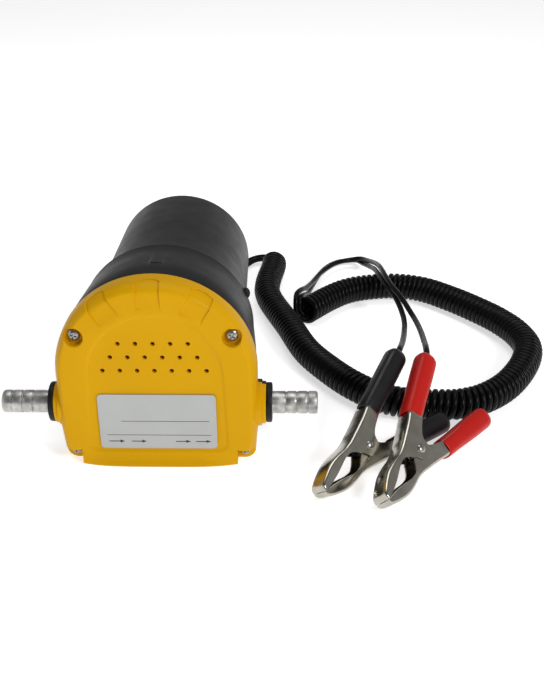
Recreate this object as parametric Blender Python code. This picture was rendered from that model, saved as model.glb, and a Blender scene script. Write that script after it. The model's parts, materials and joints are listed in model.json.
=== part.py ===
"""Twelve-volt fluid transfer pump: gear pump, motor, hose barbs, curly power cord and two clips.

Metres, +Z up. The pump stands on z = 0 with its yellow cover facing -Y and its motor axis along Y.
The origin is the centre of the base. The cord and the two clips lie on the floor to the +X side.
"""

import math

import bmesh
import bpy
from mathutils import Matrix, Vector

MM = 0.001
GAP = 0.3            # clearance between touching pieces, in millimetres like every size below

# Casing
LENGTH = 155.0
FRONT_Y = -LENGTH / 2
AXIS_Z = 50.5
COVER_R = 50.0
SPLIT = 13.2         # depth of the joint between cover and housing, which holds the hose barbs
WALL = 2.2
BODY_END = 60.5      # depth where the wide front part of the housing ends
MOTOR_PART_START = 66.0
MOTOR_PART_R = 40.8
REAR_R = 39.0

# Gear pump
GEAR_TEETH = 12
GEAR_SPACING = 21.2
DRIVEN_Z = AXIS_Z - GEAR_SPACING
BARB_Z = DRIVEN_Z
BARB_TIP = 80.0
BARB_R = 5.8
BORE_R = 4.5
SHAFT_R = 4.0

# Cord
CORD_D = 3.4
CURLY_R = 7.5

# Clips
CLIP_W = 5.5
SLEEVE_Y, SLEEVE_Z = 6.2, 5.2      # half width and half thickness of the grips
SHEET = 1.0

COLOURS = {
    "yellow": ((0.86, 0.58, 0.02), 0.38, 0.0),
    "black": ((0.028, 0.029, 0.031), 0.55, 0.0),
    "rubber": ((0.016, 0.016, 0.017), 0.6, 0.0),
    "cord": ((0.013, 0.013, 0.014), 0.35, 0.0),
    "red": ((0.72, 0.03, 0.025), 0.35, 0.0),
    "aluminium": ((0.58, 0.58, 0.57), 0.42, 1.0),
    "steel": ((0.62, 0.62, 0.62), 0.3, 1.0),
    "nickel": ((0.72, 0.71, 0.68), 0.16, 1.0),
    "brass": ((0.75, 0.55, 0.24), 0.3, 1.0),
    "copper": ((0.72, 0.36, 0.2), 0.35, 1.0),
    "ferrite": ((0.07, 0.07, 0.075), 0.7, 0.0),
    "label": ((0.62, 0.63, 0.66), 0.45, 0.3),
    "nylon": ((0.78, 0.76, 0.7), 0.5, 0.0),
}


# ---------------------------------------------------------------- tools

def material(name):
    """Return the shared material of that name, made on first use."""
    found = bpy.data.materials.get(name)
    if found:
        return found
    colour, roughness, metallic = COLOURS[name]
    made = bpy.data.materials.new(name)
    made.use_nodes = True
    shader = made.node_tree.nodes["Principled BSDF"]
    shader.inputs["Base Color"].default_value = (*colour, 1.0)
    shader.inputs["Roughness"].default_value = roughness
    shader.inputs["Metallic"].default_value = metallic
    made.diffuse_color = (*colour, 1.0)
    return made


def place(x, y, z):
    """World position in millimetres; y is the depth behind the cover's front face."""
    return Vector((x, y + FRONT_Y, z))


def frame_at(origin, x_axis, y_axis, z_axis):
    """Matrix of a local frame from its origin and axes."""
    rotation = Matrix((x_axis, y_axis, z_axis)).transposed().to_4x4()
    return Matrix.Translation(Vector(origin)) @ rotation


def make(name, bm, matrix, colour, smooth=True):
    """Turn a bmesh in local millimetres into an object that stands at matrix."""
    bmesh.ops.remove_doubles(bm, verts=bm.verts, dist=1e-4)
    bmesh.ops.recalc_face_normals(bm, faces=bm.faces)
    bmesh.ops.scale(bm, vec=(MM, MM, MM), verts=bm.verts)
    mesh = bpy.data.meshes.new(name)
    bm.to_mesh(mesh)
    bm.free()
    if smooth:
        mesh.shade_smooth()
        mesh.set_sharp_from_angle(angle=math.radians(35))
    mesh.materials.append(material(colour))
    obj = bpy.data.objects.new(name, mesh)
    scaled = matrix.copy()
    scaled.translation = matrix.translation * MM
    obj.matrix_world = scaled
    bpy.context.scene.collection.objects.link(obj)
    return obj


def lathe(name, profile, matrix, colour, steps=24):
    """Turn a closed outline of (radius, height) about the local Z axis."""
    bm = bmesh.new()
    rings = []
    for i in range(steps):
        turn = 2 * math.pi * i / steps
        rings.append([bm.verts.new((r * math.cos(turn), r * math.sin(turn), h)) for r, h in profile])
    count = len(profile)
    for i in range(steps):
        near, far = rings[i], rings[(i + 1) % steps]
        for j in range(count):
            k = (j + 1) % count
            corners = [near[j], near[k], far[k], far[j]]
            if profile[j][0] == 0 and profile[k][0] == 0:
                continue
            bm.faces.new(corners)
    bmesh.ops.remove_doubles(bm, verts=bm.verts, dist=1e-4)
    bmesh.ops.dissolve_degenerate(bm, edges=bm.edges, dist=1e-5)
    return make(name, bm, matrix, colour)


def loft(name, sections, matrix, colour):
    """Skin closed outlines of equal length; each section is (height, [(x, y), ...])."""
    bm = bmesh.new()
    rings = [[bm.verts.new((x, y, height)) for x, y in outline] for height, outline in sections]
    for lower, upper in zip(rings, rings[1:]):
        count = len(lower)
        for j in range(count):
            k = (j + 1) % count
            bm.faces.new((lower[j], lower[k], upper[k], upper[j]))
    bm.faces.new(rings[0])
    bm.faces.new(rings[-1])
    return make(name, bm, matrix, colour)


def prism(name, outline, low, high, matrix, colour):
    """Extrude an outline along the local Z axis."""
    return loft(name, [(low, outline), (high, outline)], matrix, colour)


def block(name, low, high, colour):
    """Box between two corners given as (x, depth, z)."""
    outline = [(low[0], low[2]), (high[0], low[2]), (high[0], high[2]), (low[0], high[2])]
    return prism(name, outline, low[1], high[1], DEPTH_FRAME, colour)


def helper(obj):
    """Hide a cutter or an added shape, which isn't a piece of the pump."""
    obj.hide_render = True
    obj.display_type = "WIRE"
    return obj


def combine(target, other, operation):
    """Add or subtract a helper shape."""
    modifier = target.modifiers.new(other.name, "BOOLEAN")
    modifier.operation = operation
    modifier.solver = "EXACT"
    modifier.object = helper(other)


def cut(target, *others):
    for other in others:
        combine(target, other, "DIFFERENCE")


def add(target, *others):
    for other in others:
        combine(target, other, "UNION")


def smooth_route(points, spacing):
    """Points about every spacing along a smooth curve through a hand-chosen route."""
    knots = [Vector(p) for p in points]
    knots = [2 * knots[0] - knots[1]] + knots + [2 * knots[-1] - knots[-2]]
    route = []
    for a, b, c, d in zip(knots, knots[1:], knots[2:], knots[3:]):
        parts = max(1, round((c - b).length / spacing))
        for i in range(parts):
            t = i / parts
            route.append(0.5 * (2 * b + (c - a) * t + (2 * a - 5 * b + 4 * c - d) * t * t
                                + (3 * b - a - 3 * c + d) * t ** 3))
    return route + [knots[-2]]


def tube(name, route, radius, colour, resolution=2):
    """Round tube along a route in world millimetres."""
    curve = bpy.data.curves.new(name, "CURVE")
    curve.dimensions = "3D"
    curve.bevel_depth = radius * MM
    curve.bevel_resolution = resolution
    curve.use_fill_caps = True
    spline = curve.splines.new("POLY")
    spline.points.add(len(route) - 1)
    for point, where in zip(spline.points, route):
        point.co = (*(where * MM), 1.0)
    curve.materials.append(material(colour))
    obj = bpy.data.objects.new(name, curve)
    bpy.context.scene.collection.objects.link(obj)
    return obj


# Local Z runs back along the pump, local X to the right and local Y up.
DEPTH_FRAME = frame_at((0, FRONT_Y, 0), (1, 0, 0), (0, 0, 1), (0, 1, 0))
AXIS_FRAME = frame_at((0, FRONT_Y, AXIS_Z), (1, 0, 0), (0, 0, 1), (0, 1, 0))


def depth_frame_at(x, z):
    """Frame like AXIS_FRAME on another line parallel to the motor axis."""
    return frame_at((x, FRONT_Y, z), (1, 0, 0), (0, 0, 1), (0, 1, 0))


def side_frame(side, depth=SPLIT, z=BARB_Z):
    """Frame whose Z runs out sideways, +1 to the right and -1 to the left."""
    return frame_at((0, FRONT_Y + depth, z), (0, side, 0), (0, 0, 1), (side, 0, 0))


def circle(radius, steps, x=0.0, y=0.0, start=0.0):
    """Outline of a circle."""
    turns = [start + 2 * math.pi * i / steps for i in range(steps)]
    return [(x + radius * math.cos(t), y + radius * math.sin(t)) for t in turns]


def casing_outline(radius, base, side, flatness=1.0, arc_steps=16):
    """Round top on straight sides and a flat base; flatness 0 gives a full circle."""
    arc = [(radius * math.cos(math.pi * i / arc_steps), AXIS_Z + radius * math.sin(math.pi * i / arc_steps))
           for i in range(arc_steps + 1)]
    boxed = [(-side, AXIS_Z * 0.4), (-side + 1.5, base + 4.0), (-side + 5.0, base)]
    boxed += [(x * side / 5, base) for x in (-2.5, -1, 0, 1, 2.5)]
    boxed += [(side - 5.0, base), (side - 1.5, base + 4.0), (side, AXIS_Z * 0.4)]
    lower = []
    for x, z in boxed:
        reach = math.hypot(x, z - AXIS_Z)
        round_x, round_z = radius * x / reach, AXIS_Z + radius * (z - AXIS_Z) / reach
        lower.append((round_x + (x - round_x) * flatness, round_z + (z - round_z) * flatness))
    return arc + lower


# ---------------------------------------------------------------- casing

SCREWS = {"top_left": (-38.3, 72.4), "top_right": (38.3, 72.4),
          "bottom_left": (-43.3, 5.4), "bottom_right": (43.3, 5.4)}
TOP_SEAT, BOTTOM_SEAT = 4.0, 7.0       # depth of the screw seats
NOTCH_X, NOTCH_Z = 39.5, 10.0          # the lower screws sit in notches in the cover's bottom corners
VENT_ROWS = ((5, 7.4), (6, 0.0), (7, -7.4))
VENT_Z = 61.5
VENT_PITCH = 8.5


def vent_centres():
    """Centres of the three rows of vent holes."""
    return [((i - (count - 1) / 2) * VENT_PITCH, VENT_Z + rise) for count, rise in VENT_ROWS
            for i in range(count)]


def front_cover():
    sections = [(0.0, casing_outline(46.8, 1.2, 46.8)), (2.2, casing_outline(49.0, 0.0, 49.0)),
                (6.5, casing_outline(49.9, 0.0, 49.9)),
                (SPLIT - GAP / 2, casing_outline(COVER_R, 0.0, COVER_R))]
    cover = loft("front_cover", sections, DEPTH_FRAME, "yellow")
    for side in (-1, 1):
        boss = lathe(f"cover_boss_{side}", [(0, 44), (11.7, 44), (11.7, 54.0), (0, 54.0)], side_frame(side),
                     "yellow", 24)
        add(cover, boss)
    inside = casing_outline(COVER_R - 3.2, 3.0, COVER_R - 3.2)
    cut(cover, prism("cover_hollow", inside, WALL, SPLIT + 2, DEPTH_FRAME, "yellow"))
    cut(cover, block("cover_back_trim", (-60, SPLIT - GAP / 2, -5), (60, SPLIT + 20, 110), "yellow"))
    panel = casing_outline(34.5, 7.0, 36.0, 1.0, 12)
    cut(cover, prism("panel_recess", panel, -1, 0.6, DEPTH_FRAME, "yellow"))
    vents = bmesh.new()
    for x, z in vent_centres():
        ring = bmesh.ops.create_cone(vents, cap_ends=True, segments=6, radius1=1.15, radius2=1.15, depth=8)
        bmesh.ops.translate(vents, vec=(x, z, 0), verts=ring["verts"])
    cut(cover, make("vent_cutter", vents, DEPTH_FRAME, "yellow"))
    for name, (x, z) in SCREWS.items():
        hole = lathe(f"hole_{name}", [(0, 1), (2.3, 1), (2.3, SPLIT + 2), (0, SPLIT + 2)],
                     depth_frame_at(x, z), "yellow", 12)
        if z > AXIS_Z:
            pillar = lathe(f"pillar_{name}", [(0, 1.4), (5.6, 1.4), (5.6, SPLIT - 0.6), (0, SPLIT - 0.6)],
                           depth_frame_at(x * 0.96, z), "yellow", 12)
            seat = lathe(f"pocket_{name}", [(0, -4), (4.4, -4), (4.4, TOP_SEAT), (0, TOP_SEAT)],
                         depth_frame_at(x, z), "yellow", 16)
        else:
            side = math.copysign(1, x)
            corner = [(36.8, 2.0), (42.5, 2.0), (45.9, 6.5), (47.2, 12.5), (36.8, 12.5)]
            pillar = prism(f"pillar_{name}", [(side * u, v) for u, v in corner], 1.4, SPLIT - 0.6,
                           DEPTH_FRAME, "yellow")
            low, high = sorted((side * NOTCH_X, side * 60))
            seat = block(f"notch_{name}", (low, -4, -5), (high, BOTTOM_SEAT, NOTCH_Z), "yellow")
        add(cover, pillar)
        cut(cover, seat, hole)
    for side in (-1, 1):
        cut(cover, lathe(f"cover_port_{side}", [(0, 30), (7.5, 30), (7.5, 60), (0, 60)], side_frame(side),
                         "yellow", 24))
    return cover


def label_plate():
    half_w, low, high, corner = 29.5, 9.6, 40.9, 2.0
    outline = []
    for x, z, start in ((half_w, high, 0), (-half_w, high, 90), (-half_w, low, 180), (half_w, low, 270)):
        cx, cz = x - math.copysign(corner, x), z - math.copysign(corner, z - 25)
        for i in range(4):
            turn = math.radians(start + 30 * i)
            outline.append((cx + corner * math.cos(turn), cz + corner * math.sin(turn)))
    prism("label_plate", outline, 0.05, 0.35, DEPTH_FRAME, "label")


def cover_screws():
    for name, (x, z) in SCREWS.items():
        head = (TOP_SEAT if z > AXIS_Z else BOTTOM_SEAT) - GAP
        profile = [(0, head - 2.0), (2.3, head - 2.0), (3.3, head - 1.2), (3.5, head), (1.75, head),
                   (1.75, 24.0), (0, 25.5)]
        lathe(f"cover_screw_{name}", profile, depth_frame_at(x, z), "steel", 12)


def motor_housing():
    sections = [(SPLIT + GAP / 2, casing_outline(COVER_R - 0.3, 0.0, COVER_R - 0.3)),
                (BODY_END - 3.0, casing_outline(46.0, 0.0, 46.0)),
                (BODY_END, casing_outline(45.0, 1.0, 45.0, 0.97)),
                (MOTOR_PART_START, casing_outline(MOTOR_PART_R, 9.0, MOTOR_PART_R, 0.0)),
                (LENGTH - 3.0, casing_outline(REAR_R, 9.0, REAR_R, 0.0)),
                (LENGTH, casing_outline(REAR_R - 1.2, 9.0, REAR_R - 1.2, 0.0))]
    housing = loft("motor_housing", sections, DEPTH_FRAME, "black")
    for side in (-1, 1):
        boss = lathe(f"housing_boss_{side}", [(0, 42), (11.7, 42), (11.7, 54.0), (0, 54.0)], side_frame(side),
                     "black", 24)
        add(housing, boss)
    add(housing, block("foot", (-20, 112, 0), (20, 140, 14), "black"))
    front = [(SPLIT - 1, casing_outline(COVER_R - 3.5, 3.0, COVER_R - 3.5)),
             (BODY_END - 5.0, casing_outline(43.0, 3.0, 43.0))]
    cut(housing, loft("housing_front_hollow", front, DEPTH_FRAME, "black"))
    cut(housing, lathe("housing_motor_hollow", [(0, 50), (36.4, 50), (36.2, 147), (0, 147)], AXIS_FRAME,
                       "black", 28))
    recess = [(0, 150), (34.5, 150), (34.5, 160), (0, 160)]
    cut(housing, lathe("rear_recess", recess, AXIS_FRAME, "black", 28))
    cut(housing, block("housing_front_trim", (-60, SPLIT - 20, -5), (60, SPLIT + GAP / 2, 110), "black"))
    for name, (x, z) in SCREWS.items():
        post = [(0, SPLIT + 0.6), (4.4, SPLIT + 0.6), (4.4, 27.5), (0, 27.5)]
        pillar = lathe(f"housing_pillar_{name}", post, depth_frame_at(x, z), "black", 12)
        add(housing, pillar)
        cut(housing, lathe(f"housing_hole_{name}", [(0, 5), (2.1, 5), (2.1, 26), (0, 26)],
                           depth_frame_at(x, z), "black", 12))
    for side in (-1, 1):
        cut(housing, lathe(f"housing_port_{side}", [(0, 30), (7.5, 30), (7.5, 60), (0, 60)], side_frame(side),
                           "black", 24))
    cut(housing, block("switch_cutout", (-9.7, 140, SWITCH_Z - 6.5), (9.7, 160, SWITCH_Z + 6.5), "black"))
    cut(housing, lathe("gland_hole", [(0, 140), (3.6, 140), (3.6, 160), (0, 160)],
                       depth_frame_at(GLAND_X, GLAND_Z), "black", 16))
    return housing


# ---------------------------------------------------------------- hose barbs

def hose_barbs():
    ribs = []
    for start in (64.0, 69.4, 74.8):
        ribs += [(BARB_R, start - 0.4), (BARB_R - 0.6, start + 0.2), (BARB_R, start + 0.8)]
    profile = [(BORE_R, 24.4), (5.9, 24.4), (5.9, 40), (BARB_R, 42)] + ribs
    profile += [(BARB_R, 79.0), (BARB_R - 0.6, BARB_TIP), (BORE_R, BARB_TIP)]
    for name, side in (("inlet_barb", -1), ("outlet_barb", 1)):
        lathe(name, profile, side_frame(side), "aluminium", 16)
        ring = [(6.2, 54.3), (10.1, 54.3), (10.1, 56.6), (6.2, 56.6)]
        lathe(name.replace("barb", "collar"), ring, side_frame(side), "rubber", 20)


# ---------------------------------------------------------------- gear pump

PLATE_FRONT = 3.1
BODY_FRONT = 6.2
CAVITY_END = 21.4
BODY_BACK = 30.0
BOLTS = ((-17.5, 63.5), (17.5, 63.5), (-17.5, 15.5), (17.5, 15.5))


def pump_outline():
    return [(-22, 66), (-20, 68), (20, 68), (22, 66), (22, 41), (29.5, 41), (29.5, 18), (22, 18), (22, 14),
            (20, 12), (-20, 12), (-22, 14), (-22, 18), (-29.5, 18), (-29.5, 41), (-22, 41)]


def plate_outline():
    return [(-22, 66), (-20, 68), (20, 68), (22, 66), (22, 14), (20, 12), (-20, 12), (-22, 14)]


def figure_eight(radius, steps):
    """Outline of the two overlapping gear chambers."""
    cusp = math.acos(GEAR_SPACING / 2 / radius)
    sweep = 2 * math.pi - 2 * cusp
    outline = []
    for z, first in ((AXIS_Z, -math.pi / 2 + cusp), (DRIVEN_Z, math.pi / 2 + cusp)):
        turns = [first + sweep * i / steps for i in range(steps)]
        outline += [(radius * math.cos(t), z + radius * math.sin(t)) for t in turns]
    return outline


def gear_outline():
    """Involute teeth with running clearance; one tooth points along +X."""
    module = GEAR_SPACING / GEAR_TEETH
    pitch_r = GEAR_SPACING / 2
    pressure = math.radians(25)
    base_r = pitch_r * math.cos(pressure)
    tip_r = pitch_r + 0.85 * module
    root_r = pitch_r - 1.15 * module
    backlash = 0.022
    half_pitch = math.pi / (2 * GEAR_TEETH) - backlash

    def flank(radius):
        """Half angle of a tooth at a radius."""
        def involute(r):
            roll = math.acos(min(1.0, base_r / r))
            return math.tan(roll) - roll
        return half_pitch + involute(pitch_r) - involute(max(radius, base_r))

    radii = [root_r, base_r, pitch_r, tip_r]
    outline = []
    for tooth in range(GEAR_TEETH):
        middle = 2 * math.pi * tooth / GEAR_TEETH
        points = [(r, middle - flank(r)) for r in radii] + [(r, middle + flank(r)) for r in reversed(radii)]
        outline += [(r * math.cos(a), r * math.sin(a)) for r, a in points]
    return outline


def gear_pump():
    body = prism("pump_body", pump_outline(), BODY_FRONT, BODY_BACK, DEPTH_FRAME, "aluminium")
    cut(body, prism("gear_chambers", figure_eight(12.5, 18), 0, CAVITY_END, DEPTH_FRAME, "aluminium"))
    cut(body, lathe("shaft_hole", [(0, 15), (4.3, 15), (4.3, 40), (0, 40)], AXIS_FRAME, "aluminium", 16))
    cut(body, lathe("seal_seat", [(0, 24), (9.0, 24), (9.0, 40), (0, 40)], AXIS_FRAME, "aluminium", 16))
    cut(body, lathe("pin_hole", [(0, 15), (2.8, 15), (2.8, 27), (0, 27)], depth_frame_at(0, DRIVEN_Z),
                    "aluminium", 16))
    for side in (-1, 1):
        cut(body, lathe(f"port_{side}", [(0, 8), (BORE_R, 8), (BORE_R, 24), (6.2, 24), (6.2, 40), (0, 40)],
                        side_frame(side), "aluminium", 24))
        low, high = sorted((side * 7, side * 17))
        cut(body, block(f"port_passage_{side}", (low, 9.6, 29), (high, 16.8, 46), "aluminium"))
    plate = prism("pump_end_plate", plate_outline(), PLATE_FRONT, PLATE_FRONT + 2, DEPTH_FRAME, "steel")
    gasket = prism("pump_gasket", plate_outline(), PLATE_FRONT + 2 + GAP, BODY_FRONT - GAP, DEPTH_FRAME,
                   "rubber")
    cut(gasket, prism("gasket_window", figure_eight(12.9, 16), 0, 12, DEPTH_FRAME, "rubber"))
    for number, (x, z) in enumerate(BOLTS, 1):
        sink = PLATE_FRONT + 1.7
        hole = [(0, 0), (3.9, 0), (3.9, PLATE_FRONT), (2.2, sink), (2.2, 40), (0, 40)]
        for target in (body, plate, gasket):
            cut(target, lathe(f"bolt_hole_{target.name}_{number}", hole, depth_frame_at(x, z), "steel", 10))
        bolt = [(0, PLATE_FRONT), (3.5, PLATE_FRONT), (1.8, sink), (1.8, 29.8), (0, 29.8)]
        lathe(f"pump_bolt_{number}", bolt, depth_frame_at(x, z), "steel", 10)
    gear_low, gear_high = BODY_FRONT + GAP, CAVITY_END - GAP
    down = frame_at((0, FRONT_Y, AXIS_Z), (0, 0, -1), (1, 0, 0), (0, 1, 0))
    drive = prism("drive_gear", gear_outline(), gear_low, gear_high, down, "brass")
    cut(drive, lathe("drive_bore", [(0, 0), (SHAFT_R + GAP, 0), (SHAFT_R + GAP, 40), (0, 40)], AXIS_FRAME,
                     "brass", 16))
    half_tooth = math.pi / GEAR_TEETH
    turned = Matrix.Rotation(half_tooth, 4, "Z")
    driven = prism("driven_gear", gear_outline(), gear_low, gear_high, depth_frame_at(0, DRIVEN_Z) @ turned,
                   "brass")
    cut(driven, lathe("driven_bore", [(0, 0), (2.7, 0), (2.7, 40), (0, 40)], depth_frame_at(0, DRIVEN_Z),
                      "brass", 24))
    lathe("idler_pin", [(0, BODY_FRONT), (2.5, BODY_FRONT), (2.5, 26.7), (0, 26.7)],
          depth_frame_at(0, DRIVEN_Z), "steel", 24)
    lathe("shaft_seal", [(4.3, 24.4), (8.7, 24.4), (8.7, 29.7), (4.3, 29.7)], AXIS_FRAME, "rubber", 16)


# ---------------------------------------------------------------- motor

def motor():
    lathe("motor_plate", [(10.9, 30.5), (35.5, 30.5), (35.5, 34.0), (10.9, 34.0)], AXIS_FRAME, "steel", 24)
    can = [(8.3, 31), (10.5, 31), (10.5, 34.5), (30, 34.5), (30, 116), (28, 116), (28, 36.5), (8.3, 36.5)]
    lathe("motor_can", can, AXIS_FRAME, "steel", 24)
    lathe("front_bush", [(4.3, 31), (8.0, 31), (8.0, 38), (4.3, 38)], AXIS_FRAME, "brass", 16)
    lathe("rear_bush", [(4.3, 118), (8.0, 118), (8.0, 126), (4.3, 126)], AXIS_FRAME, "brass", 16)
    lathe("motor_shaft", [(0, BODY_FRONT), (SHAFT_R, BODY_FRONT), (SHAFT_R, 127), (0, 127)], AXIS_FRAME,
          "steel", 16)
    slots = []
    for pole in range(8):
        middle = 2 * math.pi * pole / 8
        for radius, offset in ((13, -0.32), (20.5, -0.1), (20.5, -0.33), (22.8, -0.34), (22.8, 0.0),
                               (22.8, 0.34), (20.5, 0.33), (20.5, 0.1), (13, 0.32)):
            slots.append((radius * math.cos(middle + offset), radius * math.sin(middle + offset)))
    core = prism("armature_core", slots, 50, 90, AXIS_FRAME, "ferrite")
    cut(core, lathe("core_bore", [(0, 40), (4.3, 40), (4.3, 95), (0, 95)], AXIS_FRAME, "ferrite", 16))
    for name, low, high in (("front_winding", 41.5, 49.7), ("rear_winding", 90.3, 98.5)):
        ring = [(4.3, low), (15, low), (20, low + 2.5), (20, high - 2.5), (15, high), (4.3, high)]
        lathe(name, ring, AXIS_FRAME, "copper", 16)
    lathe("commutator", [(4.3, 99), (11, 99), (11, 112), (4.3, 112)], AXIS_FRAME, "copper", 16)
    for name, start in (("magnet_left", 120), ("magnet_right", -60)):
        turns = [math.radians(start + 15 * i) for i in range(9)]
        arc = [(24.0 * math.cos(t), 24.0 * math.sin(t)) for t in turns]
        arc += [(27.5 * math.cos(t), 27.5 * math.sin(t)) for t in reversed(turns)]
        prism(name, arc, 46, 94, AXIS_FRAME, "ferrite")
    end_cap = [(8.3, 116.3), (30, 116.3), (30, 119.5), (11, 119.5), (11, 126), (8.3, 126)]
    lathe("motor_end_cap", end_cap, AXIS_FRAME, "nylon", 24)
    for name, side in (("brush_left", -1), ("brush_right", 1)):
        low, high = sorted((side * 11.4, side * 20))
        block(name, (low, 103, AXIS_Z - 3), (high, 109, AXIS_Z + 3), "ferrite")


# ---------------------------------------------------------------- switch and wiring

SWITCH_Z = 67.0
ROCKER_DEPTH = 150.4
GLAND_X, GLAND_Z = 18.0, 30.0


def switch():
    body = block("switch_body", (-9.3, 136.0, SWITCH_Z - 6.1), (9.3, 151.0, SWITCH_Z + 6.1), "black")
    add(body, block("switch_flange", (-11, 150.3, SWITCH_Z - 7.8), (11, 151.8, SWITCH_Z + 7.8), "black"))
    cut(body, block("switch_pocket", (-8.4, 141.0, SWITCH_Z - 5.3), (8.4, 160, SWITCH_Z + 5.3), "black"))
    pivot = frame_at((0, FRONT_Y + ROCKER_DEPTH, SWITCH_Z), (1, 0, 0), (0, 1, 0), (0, 0, 1))
    tilt = Matrix.Rotation(math.radians(-8), 4, "Z")
    outline = [(-7.6, 3.4), (0, 1.6), (7.6, 3.4)]
    under = [math.radians(a) for a in range(-10, -180, -20)]
    outline += [(8.0 * math.cos(a), 8.0 * math.sin(a)) for a in under]
    prism("switch_rocker", outline, -5.0, 5.0, pivot @ tilt, "red")


def gland_and_wires():
    sleeve = [(0, 144.5), (5.0, 144.5), (5.0, 146.7), (3.3, 146.7), (3.3, 150.4), (4.8, 150.4), (4.8, 152.5),
              (3.0, 173.0), (0, 173.0)]
    lathe("cord_gland", sleeve, depth_frame_at(GLAND_X, GLAND_Z), "rubber", 16)
    supply = [place(18, 144.0, 30), place(18, 138, 30.5), place(17.5, 130.5, 35), place(14, 128.5, 46),
              place(7, 130.5, 58), place(5, 134.6, 62.5)]
    tube("supply_wire", smooth_route(supply, 5), 1.0, "red", 1)
    link = [place(-5, 134.6, 70), place(-7, 131, 71), place(-13, 128.5, 68), place(-20, 124, 62),
            place(-21, 121.2, 57.5)]
    tube("motor_wire", smooth_route(link, 5), 1.0, "rubber", 1)


# ---------------------------------------------------------------- cord

TAIL_ROUTE = ((18, 173.4, 30), (18.2, 180, 29.4), (19.2, 190, 26.2), (21, 202, 19.5), (23.3, 214, 12.0),
              (26, 226, 5.6), (28, 238, 2.9), (30.5, 249, 2.3), (34.5, 257.5, 2.3), (41, 262.5, 2.3),
              (48, 261, 2.8), (52.5, 255, 3.9), (53, 247.5, 5.3), (50.6, 240.6, 6.8), (49.2, 236.0, 7.6))
CURLY_ROUTE = ((48.7, 235.4), (47.5, 216), (53.4, 180), (64.3, 139), (74.8, 107), (87.7, 84), (100, 67),
               (113.8, 54), (128, 47.2), (144, 45.8), (158, 46.5), (172.4, 53), (187, 67.5), (199.5, 89),
               (206, 110), (203.4, 129.6), (195, 147.5), (183.2, 163.6), (169.5, 179), (152.8, 193.5),
               (135, 199.4), (118, 197.8), (102.6, 191.8), (89.8, 180), (77.4, 164.4))
BLACK_LEAD_ROUTE = ((75.6, 162.0, 4.6), (72.6, 160.8, 4.4), (69.2, 163.6, 4.3), (68.8, 171.0, 4.2),
                    (70.4, 183, 4.0), (73.8, 202, 3.0), (80.4, 222.7, 2.2), (88.6, 240.5, 2.1),
                    (96.9, 252.9, 2.1), (108.1, 259.9, 2.2), (118.2, 248.8, 4.0), (124.5, 224, 9.5), (129, 202, 17.5),
                    (132, 185, 18.0), (135.3, 166, 15.0), (136.5, 140, 14.0), (133.5, 110, 21.0),
                    (129.6, 82, 31.0), (126.0, 60, 38.6))
RED_LEAD_ROUTE = ((76.0, 161.6, 11.0), (72.4, 159.2, 11.6), (68.2, 161.4, 12.4), (67.4, 168.0, 12.6),
                  (70.6, 182.0, 10.6), (82.0, 211.5, 6.4), (91, 231.3, 5.8), (99.4, 241.0, 6.0),
                  (107.5, 246.6, 6.2), (114.0, 236.1, 7.4),
                  (120.0, 212.7, 14.0), (124.6, 195.6, 18.2), (129.6, 172, 22.0), (135.0, 153.3, 21.0),
                  (140.5, 133, 17.5), (142.9, 108.4, 21), (141.4, 80.0, 31.0), (139.2, 59.0, 38.0))


def cord():
    tail = smooth_route([place(*p) for p in TAIL_ROUTE], 8)
    tube("cord_tail", tail, CORD_D / 2, "cord")
    curly = smooth_route([place(x, y, CURLY_R + GAP) for x, y in CURLY_ROUTE], 18)
    tube("curly_cord", curly, CURLY_R, "cord", 3)


# ---------------------------------------------------------------- battery clips

# Clip frame: origin on the pivot, X from jaw tips to handles, Y to the upper lever, Z along the pivot.
CLIPS = {
    "black_clip": (((0.5894, 0.7881, 0.178), (-0.5783, 0.2573, 0.7746), (0.5649, -0.559, 0.6079)),
                   (102.85, -5.3, 14.5), "rubber", BLACK_LEAD_ROUTE, "black_lead"),
    "red_clip": (((0.4633, 0.8683, 0.1784), (-0.7015, 0.2367, 0.6728), (0.5411, -0.4368, 0.7186)),
                 (127.4, -10.8, 15.3), "red", RED_LEAD_ROUTE, "red_lead"),
}
HANDLE_AXIS = (0.967, 0.258)      # direction of the upper handle in the clip frame
HANDLE_RISE = 7.3                 # distance of the handle's centre line from the pivot
SLEEVE_START, SLEEVE_END = 17.0, 59.5
JAW_OUTER = ((-37.6, 1.2), (-36.4, 3.0), (-32.0, 5.6), (-27.0, 7.6), (-20.0, 8.3), (-12.0, 8.0), (0.0, 10.9),
             (13.0, 14.6))
JAW_INNER = ((16.0, 8.0), (13.2, 7.2), (9.0, 4.6), (6.2, 2.0))
JAW_MOUTH = ((-5.6, 0.6), (-8.2, 0.9), (-12.3, 4.6), (-18.3, 4.2), (-22.5, 2.9), (-30.0, 1.0), (-37.6, 0.2))


def along_handle(along, across):
    """Point in the clip frame from its place along and across the upper handle."""
    x = HANDLE_AXIS[0] * along - HANDLE_AXIS[1] * (HANDLE_RISE + across)
    y = HANDLE_AXIS[1] * along + HANDLE_AXIS[0] * (HANDLE_RISE + across)
    return (x, y)


def handle_strip(low, high, half_width):
    return [along_handle(low, -half_width), along_handle(high, -half_width), along_handle(high, half_width),
            along_handle(low, half_width)]


def mirrored(outline):
    return [(x, -y) for x, y in reversed(outline)]


def clip_frame(axes, origin):
    x_axis, y_axis, z_axis = (Vector(a) for a in axes)
    x_axis.normalize()
    z_axis = x_axis.cross(y_axis).normalized()
    y_axis = z_axis.cross(x_axis)
    return frame_at(place(*origin), x_axis, y_axis, z_axis)


def ear(radius):
    """Round ear about the pivot, from the inner side of the handle to the mouth."""
    turns = [math.radians(a) for a in range(15, -196, -30)]
    return [(radius * math.cos(t), radius * math.sin(t)) for t in turns]


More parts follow.
